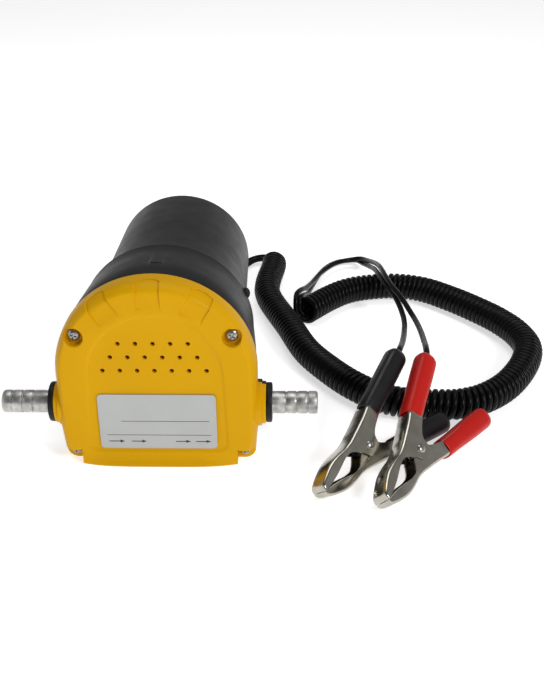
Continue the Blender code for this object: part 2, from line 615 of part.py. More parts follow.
def lever(name, upper, matrix):
    """One stamped half of a clip: a channel with a jaw, two pivot ears and a handle."""
    turn = list if upper else mirrored
    outer = list(JAW_OUTER) + list(JAW_INNER) + ear(5.4) + list(JAW_MOUTH)
    inner_w = CLIP_W - SHEET
    if upper:
        plate = prism(name, turn(outer), -CLIP_W, CLIP_W, matrix, "nickel")
    else:
        plate = prism(name, turn(outer), -(inner_w - GAP), inner_w - GAP, matrix, "nickel")
        jaw = [p for p in JAW_OUTER if p[0] < -10] + [(-8.2, 8.6)] + [p for p in JAW_MOUTH if p[0] < -7]
        add(plate, prism(f"{name}_jaw", turn(jaw), -CLIP_W, CLIP_W, matrix, "nickel"))
    add(plate, prism(f"{name}_handle", turn(handle_strip(11.0, 54.0, 4.0)), -4.2, 4.2, matrix, "nickel"))
    hollow = [(x, y - SHEET) for x, y in JAW_OUTER[1:]]
    hollow += [(16.0, 4.0), (8.0, -9.0), (-40.0, -9.0), (-40.0, 1.4)]
    web_w = inner_w if upper else inner_w - GAP - SHEET
    cut(plate, prism(f"{name}_hollow", turn(hollow), -web_w, web_w, matrix, "nickel"))
    if not upper:
        jaw_hollow = [(-36.4, 2.0), (-32.0, 4.6), (-27.0, 6.6), (-20.0, 7.3), (-12.0, 7.0), (-8.9, 7.0),
                      (-8.9, -9.0), (-40.0, -9.0), (-40.0, 1.4)]
        cut(plate, prism(f"{name}_jaw_hollow", turn(jaw_hollow), -inner_w, inner_w, matrix, "nickel"))
    channel = [along_handle(*p) for p in ((9.0, -9.0), (60.0, -9.0), (60.0, 3.0), (9.0, 3.0))]
    cut(plate, prism(f"{name}_channel", turn(channel), -3.2, 3.2, matrix, "nickel"))
    cut(plate, lathe(f"{name}_pivot_hole", [(0, -9), (2.3, -9), (2.3, 9), (0, 9)], matrix, "nickel", 16))
    return plate


def sleeve(name, upper, matrix, colour):
    """Moulded grip that is pushed over a handle."""
    turn = list if upper else mirrored
    low, high, half = SLEEVE_START, SLEEVE_END, SLEEVE_Y
    corners = [(low, -half), (high - 3.5, -half), (high - 1, -half + 1.8), (high, -half + 4.2),
               (high, half - 4.2), (high - 1, half - 1.8), (high - 3.5, half), (low, half)]
    shape = [along_handle(along, across) for along, across in corners]
    grip = prism(name, turn(shape), -SLEEVE_Z, SLEEVE_Z, matrix, colour)
    bevel = grip.modifiers.new("round_edges", "BEVEL")
    bevel.width = 2.2 * MM
    bevel.segments = 2
    bevel.limit_method = "ANGLE"
    bevel.angle_limit = math.radians(60)
    pocket = handle_strip(SLEEVE_START - 4, 54.4, 4.3)
    cut(grip, prism(f"{name}_pocket", turn(pocket), -4.5, 4.5, matrix, colour))
    return grip


def clip(name, axes, origin, colour, route, lead_name):
    matrix = clip_frame(axes, origin)
    lever(f"{name}_lead_lever", True, matrix)
    lever(f"{name}_free_lever", False, matrix)
    sleeve(f"{name}_lead_sleeve", True, matrix, colour)
    sleeve(f"{name}_free_sleeve", False, matrix, colour)
    rivet = [(0, -6.8), (3.3, -6.8), (3.3, -5.8), (2.0, -5.8), (2.0, 5.8), (3.3, 5.8), (3.3, 6.8), (0, 6.8)]
    lathe(f"{name}_rivet", rivet, matrix, "nickel", 16)
    spring = [(9.0, 6.6, -2.4)]
    for i in range(21):
        turn = math.radians(60 + 48 * i)
        spring.append((3.6 * math.cos(turn), 3.6 * math.sin(turn), -2.4 + 4.8 * i / 20))
    spring.append((9.5, -6.4, 2.4))
    tube(f"{name}_spring", [(matrix @ Vector(p)) for p in spring], 0.6, "steel", 1)
    end_x, end_y = along_handle(SLEEVE_END + 0.8, 0.0)
    out_x, out_y = along_handle(SLEEVE_END + 5, -1.0)
    ends = [matrix @ Vector((out_x, out_y, 0)), matrix @ Vector((end_x, end_y, 0))]
    tube(lead_name, smooth_route([place(*p) for p in route] + ends, 8.5), CORD_D / 2, "cord")


# ---------------------------------------------------------------- build

def main():
    for old in list(bpy.data.objects):
        bpy.data.objects.remove(old, do_unlink=True)
    front_cover()
    label_plate()
    cover_screws()
    motor_housing()
    hose_barbs()
    gear_pump()
    motor()
    switch()
    gland_and_wires()
    cord()
    for name, (axes, origin, colour, route, lead_name) in CLIPS.items():
        clip(name, axes, origin, colour, route, lead_name)


main()
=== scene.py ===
"""Looks of a 12 V fluid transfer pump: curly power cord, battery clips, cover, housing, hose barbs.

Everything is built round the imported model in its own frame, in metres. Helpers take millimetres, and
"depth" is the distance behind the front face of the yellow cover.
"""

import json
import math

import bmesh
import bpy
from mathutils import Matrix, Vector, geometry


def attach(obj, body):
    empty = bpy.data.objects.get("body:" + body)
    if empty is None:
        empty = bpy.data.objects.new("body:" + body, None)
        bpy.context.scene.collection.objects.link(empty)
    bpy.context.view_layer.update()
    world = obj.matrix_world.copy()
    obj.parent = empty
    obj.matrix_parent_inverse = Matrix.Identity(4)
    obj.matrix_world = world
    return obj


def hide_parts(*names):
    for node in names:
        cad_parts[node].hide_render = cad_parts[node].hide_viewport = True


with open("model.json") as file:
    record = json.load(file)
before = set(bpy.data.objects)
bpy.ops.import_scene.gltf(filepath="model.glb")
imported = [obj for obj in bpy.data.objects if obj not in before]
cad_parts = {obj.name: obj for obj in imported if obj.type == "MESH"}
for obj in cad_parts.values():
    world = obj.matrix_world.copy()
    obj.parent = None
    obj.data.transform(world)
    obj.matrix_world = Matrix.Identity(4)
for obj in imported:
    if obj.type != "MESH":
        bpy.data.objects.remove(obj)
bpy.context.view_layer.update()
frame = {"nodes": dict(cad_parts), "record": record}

MM = 0.001
FRONT_Y = -77.5          # the cover's front face
AXIS_Z = 50.5            # height of the motor axis
SPLIT = 13.2             # depth of the joint between cover and housing
BARB_Z = 29.3            # height of the hose barbs' axis
CORD_X, CORD_Z = 18.0, 30.0      # where the cord leaves the rear face
TAU = 2 * math.pi


def at(x, depth, z):
    """Point in the frame, in metres."""
    return Vector((x, depth + FRONT_Y, z)) * MM


# -------------------- camera and stage

CAMERA_AT = (0.071367, -0.523927, 0.304502)
CAMERA_PITCH, CAMERA_YAW, CAMERA_ROLL = (math.radians(a) for a in (28.074, -1.773, 0.656))
CAMERA_LENS = 54.236


def make_camera():
    forward = Vector((math.sin(CAMERA_YAW) * math.cos(CAMERA_PITCH),
                      math.cos(CAMERA_YAW) * math.cos(CAMERA_PITCH), -math.sin(CAMERA_PITCH)))
    level = Vector((math.cos(CAMERA_YAW), -math.sin(CAMERA_YAW), 0))
    below = forward.cross(level)
    right = level * math.cos(CAMERA_ROLL) + below * math.sin(CAMERA_ROLL)
    up = level * math.sin(CAMERA_ROLL) - below * math.cos(CAMERA_ROLL)
    camera = bpy.data.objects.new("camera", bpy.data.cameras.new("camera"))
    camera.data.lens = CAMERA_LENS
    turn = Matrix((right, up, -forward)).transposed().to_4x4()
    camera.matrix_world = Matrix.Translation(CAMERA_AT) @ turn
    bpy.context.scene.collection.objects.link(camera)
    bpy.context.scene.camera = camera


make_camera()


# -------------------- materials

def nodes_of(material):
    return material.node_tree.nodes, material.node_tree.links


def finish(name, colour, roughness, metallic=0.0, shade=0.0, shade_scale=40.0, vary=0.0, vary_scale=120.0,
           grain=0.0, grain_scale=1500.0, stretch=(1, 1, 1), coat=0.0, gloss=0.5):
    """Procedural finish: colour mottling, uneven gloss and a fine surface grain.

    Scales are in features per metre of the object; stretch squeezes the pattern along an axis.
    """
    material = bpy.data.materials.new(name)
    material.use_nodes = True
    nodes, links = nodes_of(material)
    shader = nodes["Principled BSDF"]
    shader.inputs["Base Color"].default_value = (*colour, 1)
    shader.inputs["Roughness"].default_value = roughness
    shader.inputs["Metallic"].default_value = metallic
    shader.inputs["Coat Weight"].default_value = coat
    shader.inputs["Specular IOR Level"].default_value = gloss
    place = nodes.new("ShaderNodeTexCoord")
    squeeze = nodes.new("ShaderNodeMapping")
    squeeze.inputs["Scale"].default_value = stretch
    links.new(place.outputs["Object"], squeeze.inputs["Vector"])

    def noise(scale, detail):
        made = nodes.new("ShaderNodeTexNoise")
        made.inputs["Scale"].default_value = scale
        made.inputs["Detail"].default_value = detail
        links.new(squeeze.outputs["Vector"], made.inputs["Vector"])
        return made.outputs["Fac"]

    if shade:
        ramp = nodes.new("ShaderNodeValToRGB")
        ramp.color_ramp.elements[0].position, ramp.color_ramp.elements[1].position = 0.3, 0.7
        for stop, factor in zip(ramp.color_ramp.elements, (1 - shade, 1 + shade)):
            stop.color = (*(min(1.0, c * factor) for c in colour), 1)
        links.new(noise(shade_scale, 4), ramp.inputs["Fac"])
        links.new(ramp.outputs["Color"], shader.inputs["Base Color"])
    if vary:
        span = nodes.new("ShaderNodeMapRange")
        span.inputs["From Min"].default_value, span.inputs["From Max"].default_value = 0.3, 0.7
        span.inputs["To Min"].default_value = max(0.02, roughness - vary)
        span.inputs["To Max"].default_value = min(1.0, roughness + vary)
        links.new(noise(vary_scale, 5), span.inputs["Value"])
        links.new(span.outputs["Result"], shader.inputs["Roughness"])
    if grain:
        bump = nodes.new("ShaderNodeBump")
        bump.inputs["Strength"].default_value = grain
        bump.inputs["Distance"].default_value = 0.0002
        links.new(noise(grain_scale, 3), bump.inputs["Height"])
        links.new(bump.outputs["Normal"], shader.inputs["Normal"])
    return material


YELLOW = finish("yellow_plastic", (0.67, 0.352, 0.0012), 0.4, shade=0.03, shade_scale=18, vary=0.06,
                grain=0.06, grain_scale=900, gloss=0.08)
# painted shade: a dark brownish finish on the floors of the blind vent pits, in place of the dark inside seen
# through real vents
PAINTED_VENT_SHADE = finish("vent_shadow", (0.10, 0.035, 0.004), 0.8, shade=0.2, shade_scale=400, gloss=0.1)
BLACK = finish("black_plastic", (0.016, 0.016, 0.016), 0.42, shade=0.05, shade_scale=60, vary=0.04,
               grain=0.12, grain_scale=1800, gloss=0.14)
RUBBER = finish("black_rubber", (0.006, 0.006, 0.0065), 0.5, shade=0.2, shade_scale=90, vary=0.08, grain=0.1,
                grain_scale=2500, gloss=0.25)
CORD = finish("cord_pvc", (0.0035, 0.0035, 0.004), 0.32, shade=0.2, shade_scale=60, vary=0.08, vary_scale=200,
              grain=0.05, grain_scale=1500, gloss=0.12)
LABEL = finish("label_film", (0.46, 0.475, 0.47), 0.42, shade=0.03, shade_scale=60, vary=0.05, gloss=0.3)
INK = finish("label_ink", (0.02, 0.02, 0.022), 0.5, shade=0.1, shade_scale=300)
ALUMINIUM = finish("cast_aluminium", (0.47, 0.465, 0.45), 0.42, metallic=1.0, shade=0.32, shade_scale=260,
                   vary=0.1, vary_scale=300, grain=0.5, grain_scale=1400)
MACHINED = finish("machined_aluminium", (0.56, 0.56, 0.55), 0.3, metallic=1.0, shade=0.08, vary=0.08,
                  vary_scale=300, grain=0.15)
STEEL = finish("bright_steel", (0.33, 0.32, 0.30), 0.3, metallic=1.0, shade=0.1, shade_scale=200, vary=0.08,
               vary_scale=400)
NICKEL = finish("nickel_plate", (0.40, 0.38, 0.33), 0.2, metallic=1.0, shade=0.1, shade_scale=150, vary=0.07,
                vary_scale=180, grain=0.05, grain_scale=900)
BRASS = finish("gear_brass", (0.62, 0.42, 0.16), 0.3, metallic=1.0, shade=0.1, vary=0.06)
COPPER = finish("winding_copper", (0.55, 0.22, 0.10), 0.35, metallic=1.0, shade=0.2, shade_scale=900,
                grain=0.6, grain_scale=1200, stretch=(1, 0.05, 1))
DARK_IRON = finish("dark_iron", (0.05, 0.05, 0.055), 0.65, shade=0.25, shade_scale=300, grain=0.3)
NYLON = finish("nylon", (0.62, 0.58, 0.50), 0.5, shade=0.05)
RED = finish("red_vinyl", (0.47, 0.009, 0.005), 0.36, shade=0.06, shade_scale=45, vary=0.08, vary_scale=90,
             grain=0.08, grain_scale=900, gloss=0.22)
BLACK_VINYL = finish("black_vinyl", (0.008, 0.008, 0.009), 0.34, shade=0.15, shade_scale=45, vary=0.08,
                     vary_scale=90, grain=0.08, grain_scale=900, gloss=0.3)
RED_GLOSS = finish("red_gloss", (0.50, 0.015, 0.010), 0.2, shade=0.03, coat=0.3)
FLOOR = finish("paper_floor", (0.90, 0.90, 0.90), 0.85, shade=0.01, shade_scale=4, gloss=0.0)

CAD_FINISHES = {
    "black_housing": BLACK, "collar_rubber": RUBBER, "barb_aluminium": ALUMINIUM, "pump_aluminium": MACHINED,
    "gear_brass": BRASS, "machined_steel": STEEL, "screw_steel": STEEL, "motor_steel": STEEL,
    "copper": COPPER,
    "iron_core": DARK_IRON, "seal_rubber": RUBBER, "end_cap_nylon": NYLON, "red_switch": RED_GLOSS,
    "red_wire": RED, "black_wire": RUBBER, "clip_nickel": NICKEL, "black_grip": BLACK_VINYL, "red_grip": RED,
    "yellow_cover": YELLOW, "label": LABEL, "cord_black": CORD,
}
SLOT_OF = {part["node"]: part["material_slot"] for part in frame["record"]["subparts"]}
for node, obj in frame["nodes"].items():
    obj.data.materials.clear()
    obj.data.materials.append(CAD_FINISHES[SLOT_OF[node]])


# -------------------- mesh tools

def piece(name, data, materials, body, node=None, slot=None):
    """Put mesh or curve data in the scene as a piece that rides on a body and may stand for CAD nodes."""
    for material in materials:
        data.materials.append(material)
    obj = bpy.data.objects.new(name, data)
    bpy.context.scene.collection.objects.link(obj)
    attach(obj, body)
    nodes = (node,) if isinstance(node, str) else node or ()
    for one in nodes:
        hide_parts(one)
    if nodes:
        slot = slot or SLOT_OF[nodes[0]]
    return obj


def smooth(mesh, degrees=38):
    mesh.shade_smooth()
    mesh.set_sharp_from_angle(angle=math.radians(degrees))
    return mesh


def to_mesh(bm, name, degrees=38):
    bmesh.ops.recalc_face_normals(bm, faces=bm.faces)
    mesh = bpy.data.meshes.new(name)
    bm.to_mesh(mesh)
    bm.free()
    return smooth(mesh, degrees)


def skin(bm, rings, closed=True):
    """Faces between rings of points; a ring of one point closes the end. Returns the rings' vertices."""
    made = [[bm.verts.new(p) for p in ring] for ring in rings]
    for near, far in zip(made, made[1:]):
        count = max(len(near), len(far))
        for j in range(count if closed else count - 1):
            k = (j + 1) % count
            if len(near) == 1:
                bm.faces.new((near[0], far[k], far[j]))
            elif len(far) == 1:
                bm.faces.new((near[j], near[k], far[0]))
            else:
                bm.faces.new((near[j], near[k], far[k], far[j]))
    return made


def lathe(profile, matrix, steps, start=0.0, sweep=TAU):
    """New bmesh: a closed outline of (radius, height) in millimetres turned about the Z axis of matrix."""
    bm = bmesh.new()
    whole = sweep >= TAU - 1e-6
    rings = []
    for i in range(steps if whole else steps + 1):
        turn = start + sweep * i / steps
        rings.append([bm.verts.new(matrix @ (Vector((r * math.cos(turn), r * math.sin(turn), h)) * MM))
                      for r, h in profile])
    pairs = list(zip(rings, rings[1:])) + ([(rings[-1], rings[0])] if whole else [])
    for near, far in pairs:
        for j in range(len(profile)):
            k = (j + 1) % len(profile)
            if profile[j][0] or profile[k][0]:
                bm.faces.new((near[j], near[k], far[k], far[j]))
    if not whole:
        bm.faces.new(rings[0])
        bm.faces.new(rings[-1])
    bmesh.ops.remove_doubles(bm, verts=bm.verts, dist=1e-7)
    return bm


def frame_at(origin, x_axis, y_axis, z_axis):
    return Matrix.Translation(Vector(origin)) @ Matrix((x_axis, y_axis, z_axis)).transposed().to_4x4()


def depth_frame(x, z):
    """Local Z runs back along the pump from the cover's front, X to the right and Y up."""
    return frame_at(at(x, 0, z), (1, 0, 0), (0, 0, 1), (0, 1, 0))


def side_frame(side):
    """Local Z runs out along a hose barb, X is up and Y is to the front on the right side."""
    return frame_at(at(0, SPLIT, BARB_Z), (0, 0, 1), (0, -side, 0), (side, 0, 0))


def catmull(knots, t):
    """Point between the second and third of four knots, on the Catmull-Rom curve through them."""
    a, b, c, d = knots
    return 0.5 * (2 * b + (c - a) * t + (2 * a - 5 * b + 4 * c - d) * t * t
                  + (3 * b - a - 3 * c + d) * t ** 3)


def spline(points, spacing):
    """Points about every spacing along a smooth curve through a route, all in one unit."""
    knots = [Vector(p) for p in points]
    knots = [2 * knots[0] - knots[1]] + knots + [2 * knots[-1] - knots[-2]]
    route = []
    for four in zip(knots, knots[1:], knots[2:], knots[3:]):
        parts = max(1, round((four[2] - four[1]).length / spacing))
        route += [catmull(four, i / parts) for i in range(parts)]
    return route + [knots[-2]]


def tube(name, points, radius, sides=3):
    """Curve data for a round tube through points in metres; radius in millimetres."""
    curve = bpy.data.curves.new(name, "CURVE")
    curve.dimensions = "3D"
    curve.bevel_depth = radius * MM
    curve.bevel_resolution = sides
    curve.use_fill_caps = True
    line = curve.splines.new("POLY")
    line.points.add(len(points) - 1)
    for point, where in zip(line.points, points):
        point.co = (*where, 1.0)
    line.use_smooth = True
    return curve


def step(value, low, high):
    """Smooth step from 0 at low to 1 at high."""
    t = min(1.0, max(0.0, (value - low) / (high - low)))
    return t * t * (3 - 2 * t)


# -------------------- cords

STRAND_D = 3.4                   # one insulated wire
PAIR_R = 1.75                    # half the distance between the two wires where they run side by side
COIL_R = 6.9                     # from the coil's axis to the middle of the wires
COIL_PITCH = 7.2                 # advance of the pair of wires in one turn
POINTS_PER_TURN = 18
TURN_BEFORE, TURN_AFTER = 4.0, 1.0    # the turning sets in between these distances from the tail's end
FAN = 3.0                        # the wires move apart this far before and after the tail's end
KEEP_EVERY = 5                   # points kept where the wires run straight
TAIL_ROUTE = ((18, 168, 30), (18, 173.4, 30), (18.2, 180, 29.4), (19.2, 190, 26.2), (21, 202, 19.5),
              (23.3, 214, 12.0), (26, 226, 5.6), (28, 238, 2.9), (31.5, 249.5, 2.6), (37, 256.5, 3.4),
              (43.4, 256.5, 4.8),
              (48.8, 250.5, 6.4), (52.0, 242.5, 8.0))
CURLY_ROUTE = ((52.4, 234), (51.6, 226), (50, 214), (48.9, 201), (49.2, 188), (53.2, 171),
               (64.3, 139), (74.8, 107), (87.7, 84), (100, 67), (113.8, 54), (128, 47.2), (144, 45.8),
               (158, 46.5), (172.4, 53), (187, 67.5), (199.5, 89),
               (206, 110), (203.4, 129.6), (195, 147.5), (183.2, 163.6), (169.5, 179), (152.8, 193.5),
               (135, 199.4), (118, 197.8), (102.6, 191.8), (89.8, 180), (77.4, 164.4), (73.6, 159.4))
CURLY_Z = 8.8                    # height of the coil's axis
BLACK_LEAD_ROUTE = ((70.6, 167.9, 12.6), (71.5, 172.6, 13.5), (73.2, 180.5, 10.8), (75.8, 193, 6.4),
                    (79.2, 212, 3.3), (84.4, 233.4, 2.4), (90.5, 247.2, 2.2), (97.4, 255.2, 2.1),
                    (104.4, 257.4, 2.3), (111.2, 256, 3.2), (116, 242.9, 6), (118.8, 227.1, 11),
                    (120.8, 210, 16.6), (122, 195.5, 20.2), (123.6, 183.5, 21.5), (125.9, 173.2, 21.4),
                    (128.7, 165.2, 20.9), (131.6, 154.6, 19.6), (133.7, 141.5, 17.8),
                    (133.9, 125.6, 18.4), (131.4, 101, 24), (127.5, 71, 33.8), (124.4, 51.5, 40.6))
RED_LEAD_ROUTE = ((68.1, 165.2, 13.6), (68.6, 170, 16.4), (71.2, 178, 15.6), (75, 190, 12),
                  (79.4, 207, 8.4), (85.4, 226.4, 6.6), (94.1, 242.6, 5.8), (101.4, 249.2, 5.5),
                  (107.6, 251.2, 5.8), (113.8, 249.6, 7.2), (118.6, 237, 11), (121.8, 220.5, 16.6),
                  (123.6, 203, 21.8), (124.9, 187.5, 24.6), (126.6, 174.5, 25.2), (129.1, 163.2, 24.8),
                  (132, 155.5, 24), (134.8, 147.3, 22.8), (137.4, 138, 21.4), (140, 125.5, 20.8),
                  (140.8, 103.6, 24.8), (139.6, 74, 33), (138.1, 52.5, 40))

# Clip frame: origin on the pivot, X from the jaw tips to the handles, Y to the lever with the lead.
HANDLE_AXIS = (0.967, 0.258)
HANDLE_RISE = 7.3
SLEEVE_START, SLEEVE_END = 17.0, 59.5
CLIPS = {
    "black": ((0.5894, 0.7881, 0.178), (-0.5783, 0.2573, 0.7746), (102.85, -5.3, 14.5), BLACK_LEAD_ROUTE),
    "red": ((0.4633, 0.8683, 0.1784), (-0.7015, 0.2367, 0.6728), (127.4, -10.8, 15.3), RED_LEAD_ROUTE),
}


def along_handle(along, across):
    """Point in a clip's plane from its place along and across the upper handle."""
    return (HANDLE_AXIS[0] * along - HANDLE_AXIS[1] * (HANDLE_RISE + across),
            HANDLE_AXIS[1] * along + HANDLE_AXIS[0] * (HANDLE_RISE + across))


def clip_frame(x_axis, y_axis, origin):
    x_axis = Vector(x_axis).normalized()
    z_axis = x_axis.cross(Vector(y_axis)).normalized()
    return frame_at(at(*origin), x_axis, z_axis.cross(x_axis), z_axis)


def resample(points, spacing):
    """Points at an even spacing along a polyline."""
    result, left = [points[0]], spacing
    for a, b in zip(points, points[1:]):
        length = (b - a).length
        done = 0.0
        while length - done >= left:
            done += left
            result.append(a.lerp(b, done / length))
            left = spacing
        left -= length - done
    return result


def strands():
    """Centre lines of the two wires: side by side in the tail, then interleaved in the coil."""
    tail = spline([at(*p) for p in TAIL_ROUTE], 2 * MM)
    spacing = COIL_PITCH / POINTS_PER_TURN * MM
    route = [at(*p) for p in TAIL_ROUTE] + [at(x, y, CURLY_Z) for x, y in CURLY_ROUTE]
    axis = resample(spline(route, 1 * MM), spacing)
    tail_length = sum((b - a).length for a, b in zip(tail, tail[1:])) / MM
    last = len(axis) - 1
    tangents = [(axis[min(i + 1, last)] - axis[max(i - 1, 0)]).normalized() for i in range(last + 1)]
    side = Vector((1, 0, 0))
    sides = []
    for tangent in tangents:
        side = (side - tangent * side.dot(tangent)).normalized()
        sides.append(side)
    turns = [0.0]
    for i in range(1, len(axis)):
        s = i * spacing / MM
        share = step(s, tail_length - TURN_BEFORE, tail_length + TURN_AFTER)
        turns.append(turns[-1] + share * spacing / MM / COIL_PITCH)
    # stretch the turning a little, so that the second wire ends on the coil's outer side
    outer = tangents[-1].cross(Vector((0, 0, 1)))
    up = tangents[-1].cross(sides[-1])
    want = math.atan2(-outer.dot(up), outer.dot(sides[-1])) / TAU + 0.5
    stretch = (round(turns[-1] - want) + want) / turns[-1]
    lines = []
    for half in (0.0, 0.5):
        line = []
        for i, (middle, tangent, side) in enumerate(zip(axis, tangents, sides)):
            s = i * spacing / MM
            radius = PAIR_R + (COIL_R - PAIR_R) * step(s, tail_length - FAN, tail_length + FAN)
            turn = TAU * (turns[i] * stretch + half)
            offset = side * math.cos(turn) - tangent.cross(side) * math.sin(turn)
            line.append(middle + offset * radius * MM)
        first = int((tail_length - 2 * FAN) * MM / spacing)
        lines.append(line[:first:KEEP_EVERY] + line[first:])
    # the first wire ends half a turn earlier, on the same side as the second
    lines[0] = lines[0][:-(POINTS_PER_TURN // 2)]
    return lines


def make_cords():
    """The two wires from the housing to the clips, with the length of each."""
    wires = {}
    for (colour, (x_axis, y_axis, origin, route)), line in zip(CLIPS.items(), strands()):
        matrix = clip_frame(x_axis, y_axis, origin)
        ends = [matrix @ (Vector((*along_handle(a, 0.0), 0)) * MM) for a in (SLEEVE_END, SLEEVE_END - 8)]
        lead = spline([line[-1]] + [at(*p) for p in route] + ends, 2.2 * MM)
        points = line + lead[1:]
        length = sum((b - a).length for a, b in zip(points, points[1:]))
        name = f"{colour}_wire"
        nodes = ("cord_tail", "curly_cord", "black_lead") if colour == "black" else ("red_lead",)
        wire = piece(name, tube(name, points, STRAND_D / 2, 4), [CORD], "pump", nodes, "cord_black")
        wires[colour] = (wire, length)
    return wires


WIRES = make_cords()


# -------------------- cover

COVER_R = 50.0
COVER_BACK = 13.05
COVER_WALL = 3.2
RAYS = 288
# Section of the shoulder: distance inside the outline, depth of the surface.
SHOULDER = ((0.0, 10.0), (0.06, 7.2), (0.25, 5.2), (0.7, 3.7), (1.4, 2.35), (2.1, 1.25), (2.8, 0.45),
            (3.5, 0.06), (4.1, 0.0))
SHOULDER_DROP = 2.9
TAB_ANGLES = (60.0, 91.5, 123.0)
TAB_HALF, TAB_START, TAB_RISE, TAB_SUNK, TAB_END, TAB_ARCH, TAB_WALL = 5.8, 35.6, 6, 0.6, 7.5, 2.6, 0.2
NOTCH_X, NOTCH_Z, NOTCH_DEPTH = 39.5, 8.2, 7.0
SCREWS = {"top_left": (-38.3, 72.4, 4.0), "top_right": (38.3, 72.4, 4.0),
          "bottom_left": (-43.3, 5.4, NOTCH_DEPTH), "bottom_right": (43.3, 5.4, NOTCH_DEPTH)}
POCKETS = [screw for screw in SCREWS.values() if screw[1] > AXIS_Z]
POCKET_R, POCKET_EDGE = 4.8, 0.5
POST_R, POST_SHIFT = 5.8, 0.96      # screw posts behind the pockets, a little nearer to the middle
POST_X, POST_Z, POST_GAP = 36.6, 12.8, 0.45
FACE_BACK = 2.6
TAPER_Z, TAPER = 20.2, 0.0926       # the casing's sides lean inwards below this height
PANEL_R, PANEL_LOW, PANEL_CORNER, PANEL_FLARE = 34.5, 7.0, 6, 0.04
PANEL_SUNK, PANEL_EDGE = 0.8, 2.2
BASE_LIP, LIP_RISE = 3.0, 9.0      # the front's lower edge bows forward
VENTS = [((i - (count - 1) / 2) * 8.5, 61.5 + rise) for count, rise in ((5, 7.4), (6, 0.0), (7, -7.4))
         for i in range(count)]
VENT_R, VENT_DEPTH = 1.15, 2.4
THIN = 0.02              # half the width of a near-vertical wall in plan
SLIVER = 0.006           # a face nearer to the outline than this is left out


def casing_inset(x, z, radius=COVER_R, base=0.0, corner=5.0):
    """How far a point of the front view lies inside the casing's outline."""
    side = radius - (math.hypot(x, z - AXIS_Z) if z > AXIS_Z else abs(x))
    if z < TAPER_Z:
        side -= (TAPER_Z - z) * TAPER
    low = z - base
    if side < corner and low < corner:
        return corner - math.hypot(corner - side, corner - low)
    return min(side, low)


def inside_casing(x, z):
    return casing_inset(x, z) > SLIVER


def panel_inset(x, z):
    """How far a point of the front view lies inside the sunk panel's outline."""
    side = PANEL_R - (math.hypot(x, z - AXIS_Z) if z > AXIS_Z else abs(x) - (AXIS_Z - z) * PANEL_FLARE)
    low = z - PANEL_LOW
    if side < PANEL_CORNER and low < PANEL_CORNER:
        return PANEL_CORNER - math.hypot(PANEL_CORNER - side, PANEL_CORNER - low)
    return min(side, low)


def contour(inset, level, rays=RAYS, **sizes):
    """Points where the inset has a given level, along rays from the axis."""
    ring = []
    for i in range(rays):
        turn = TAU * i / rays
        near, far = 0.0, 90.0
        for _ in range(26):
            middle = (near + far) / 2
            x, z = middle * math.cos(turn), AXIS_Z + middle * math.sin(turn)
            near, far = (middle, far) if inset(x, z, **sizes) > level else (near, middle)
        ring.append((near * math.cos(turn), AXIS_Z + near * math.sin(turn)))
    return ring


def round_loop(x, z, radius, count=32):
    return [(x + radius * math.cos(TAU * i / count), z + radius * math.sin(TAU * i / count))
            for i in range(count)]


def shoulder_inset(x, z):
    """Like the casing's inset, but the shoulder stops short of the base, which keeps a crisp edge."""
    return casing_inset(x, z, base=-SHOULDER_DROP)


def shoulder(inset):
    """Depth of the cover's front surface at a distance inside its outline."""
    for (s0, d0), (s1, d1) in zip(SHOULDER, SHOULDER[1:]):
        if inset < s1:
            return d0 + (d1 - d0) * max(0.0, inset - s0) / (s1 - s0)
    return 0.0


def in_vent(x, z):
    return any(math.hypot(x - vx, z - vz) < VENT_R for vx, vz in VENTS)


def cover_depth(x, z):
    """Depth of the cover's front surface at a point of the front view."""
    inset = shoulder_inset(x, z)
    depth = shoulder(inset)
    for angle in TAB_ANGLES:
        ray = Vector((math.cos(math.radians(angle)), math.sin(math.radians(angle))))
        along = x * ray.x + (z - AXIS_Z) * ray.y
        across = abs(x * ray.y - (z - AXIS_Z) * ray.x)
        half = TAB_HALF + TAB_WALL / 2
        inside = (min(1, max(0, (half - across) / TAB_WALL))
                  * step(along, TAB_START, TAB_START + TAB_RISE))
        if inside > 0:
            arch = TAB_END - TAB_ARCH * (1 - math.sqrt(max(0.0, 1 - (across / half) ** 2)))
            sunk = min(arch, shoulder(inset - TAB_SUNK) + TAB_SUNK)
            depth += inside * max(0.0, sunk - depth)
    depth = max(depth, PANEL_SUNK * step(panel_inset(x, z), 0, PANEL_EDGE))
    for sx, sz, seat in POCKETS:
        away = math.hypot(x - sx, z - sz)
        if away < POCKET_R:
            depth = max(depth, seat)
        elif away < POCKET_R + POCKET_EDGE:
            depth = max(depth, POCKET_R + POCKET_EDGE - away)
    if abs(x) > NOTCH_X and z < NOTCH_Z:
        depth = max(depth, NOTCH_DEPTH)
    if z < LIP_RISE and abs(x) < NOTCH_X:
        depth -= BASE_LIP * (1 - (x / NOTCH_X) ** 4) * (1 - z / LIP_RISE) ** 2
    return VENT_DEPTH if in_vent(x, z) else depth


def cover_back_depth(x, z):
    """Depth of the cover's rear surface: its wall, the screw posts and the hollow between them."""
    if casing_inset(x, z) < COVER_WALL:
        return COVER_BACK
    if any(math.hypot(x - sx * POST_SHIFT, z - sz) < POST_R for sx, sz, _ in POCKETS):
        return COVER_BACK - POST_GAP
    if abs(x) > POST_X and z < POST_Z:
        return COVER_BACK - POST_GAP
    return FACE_BACK


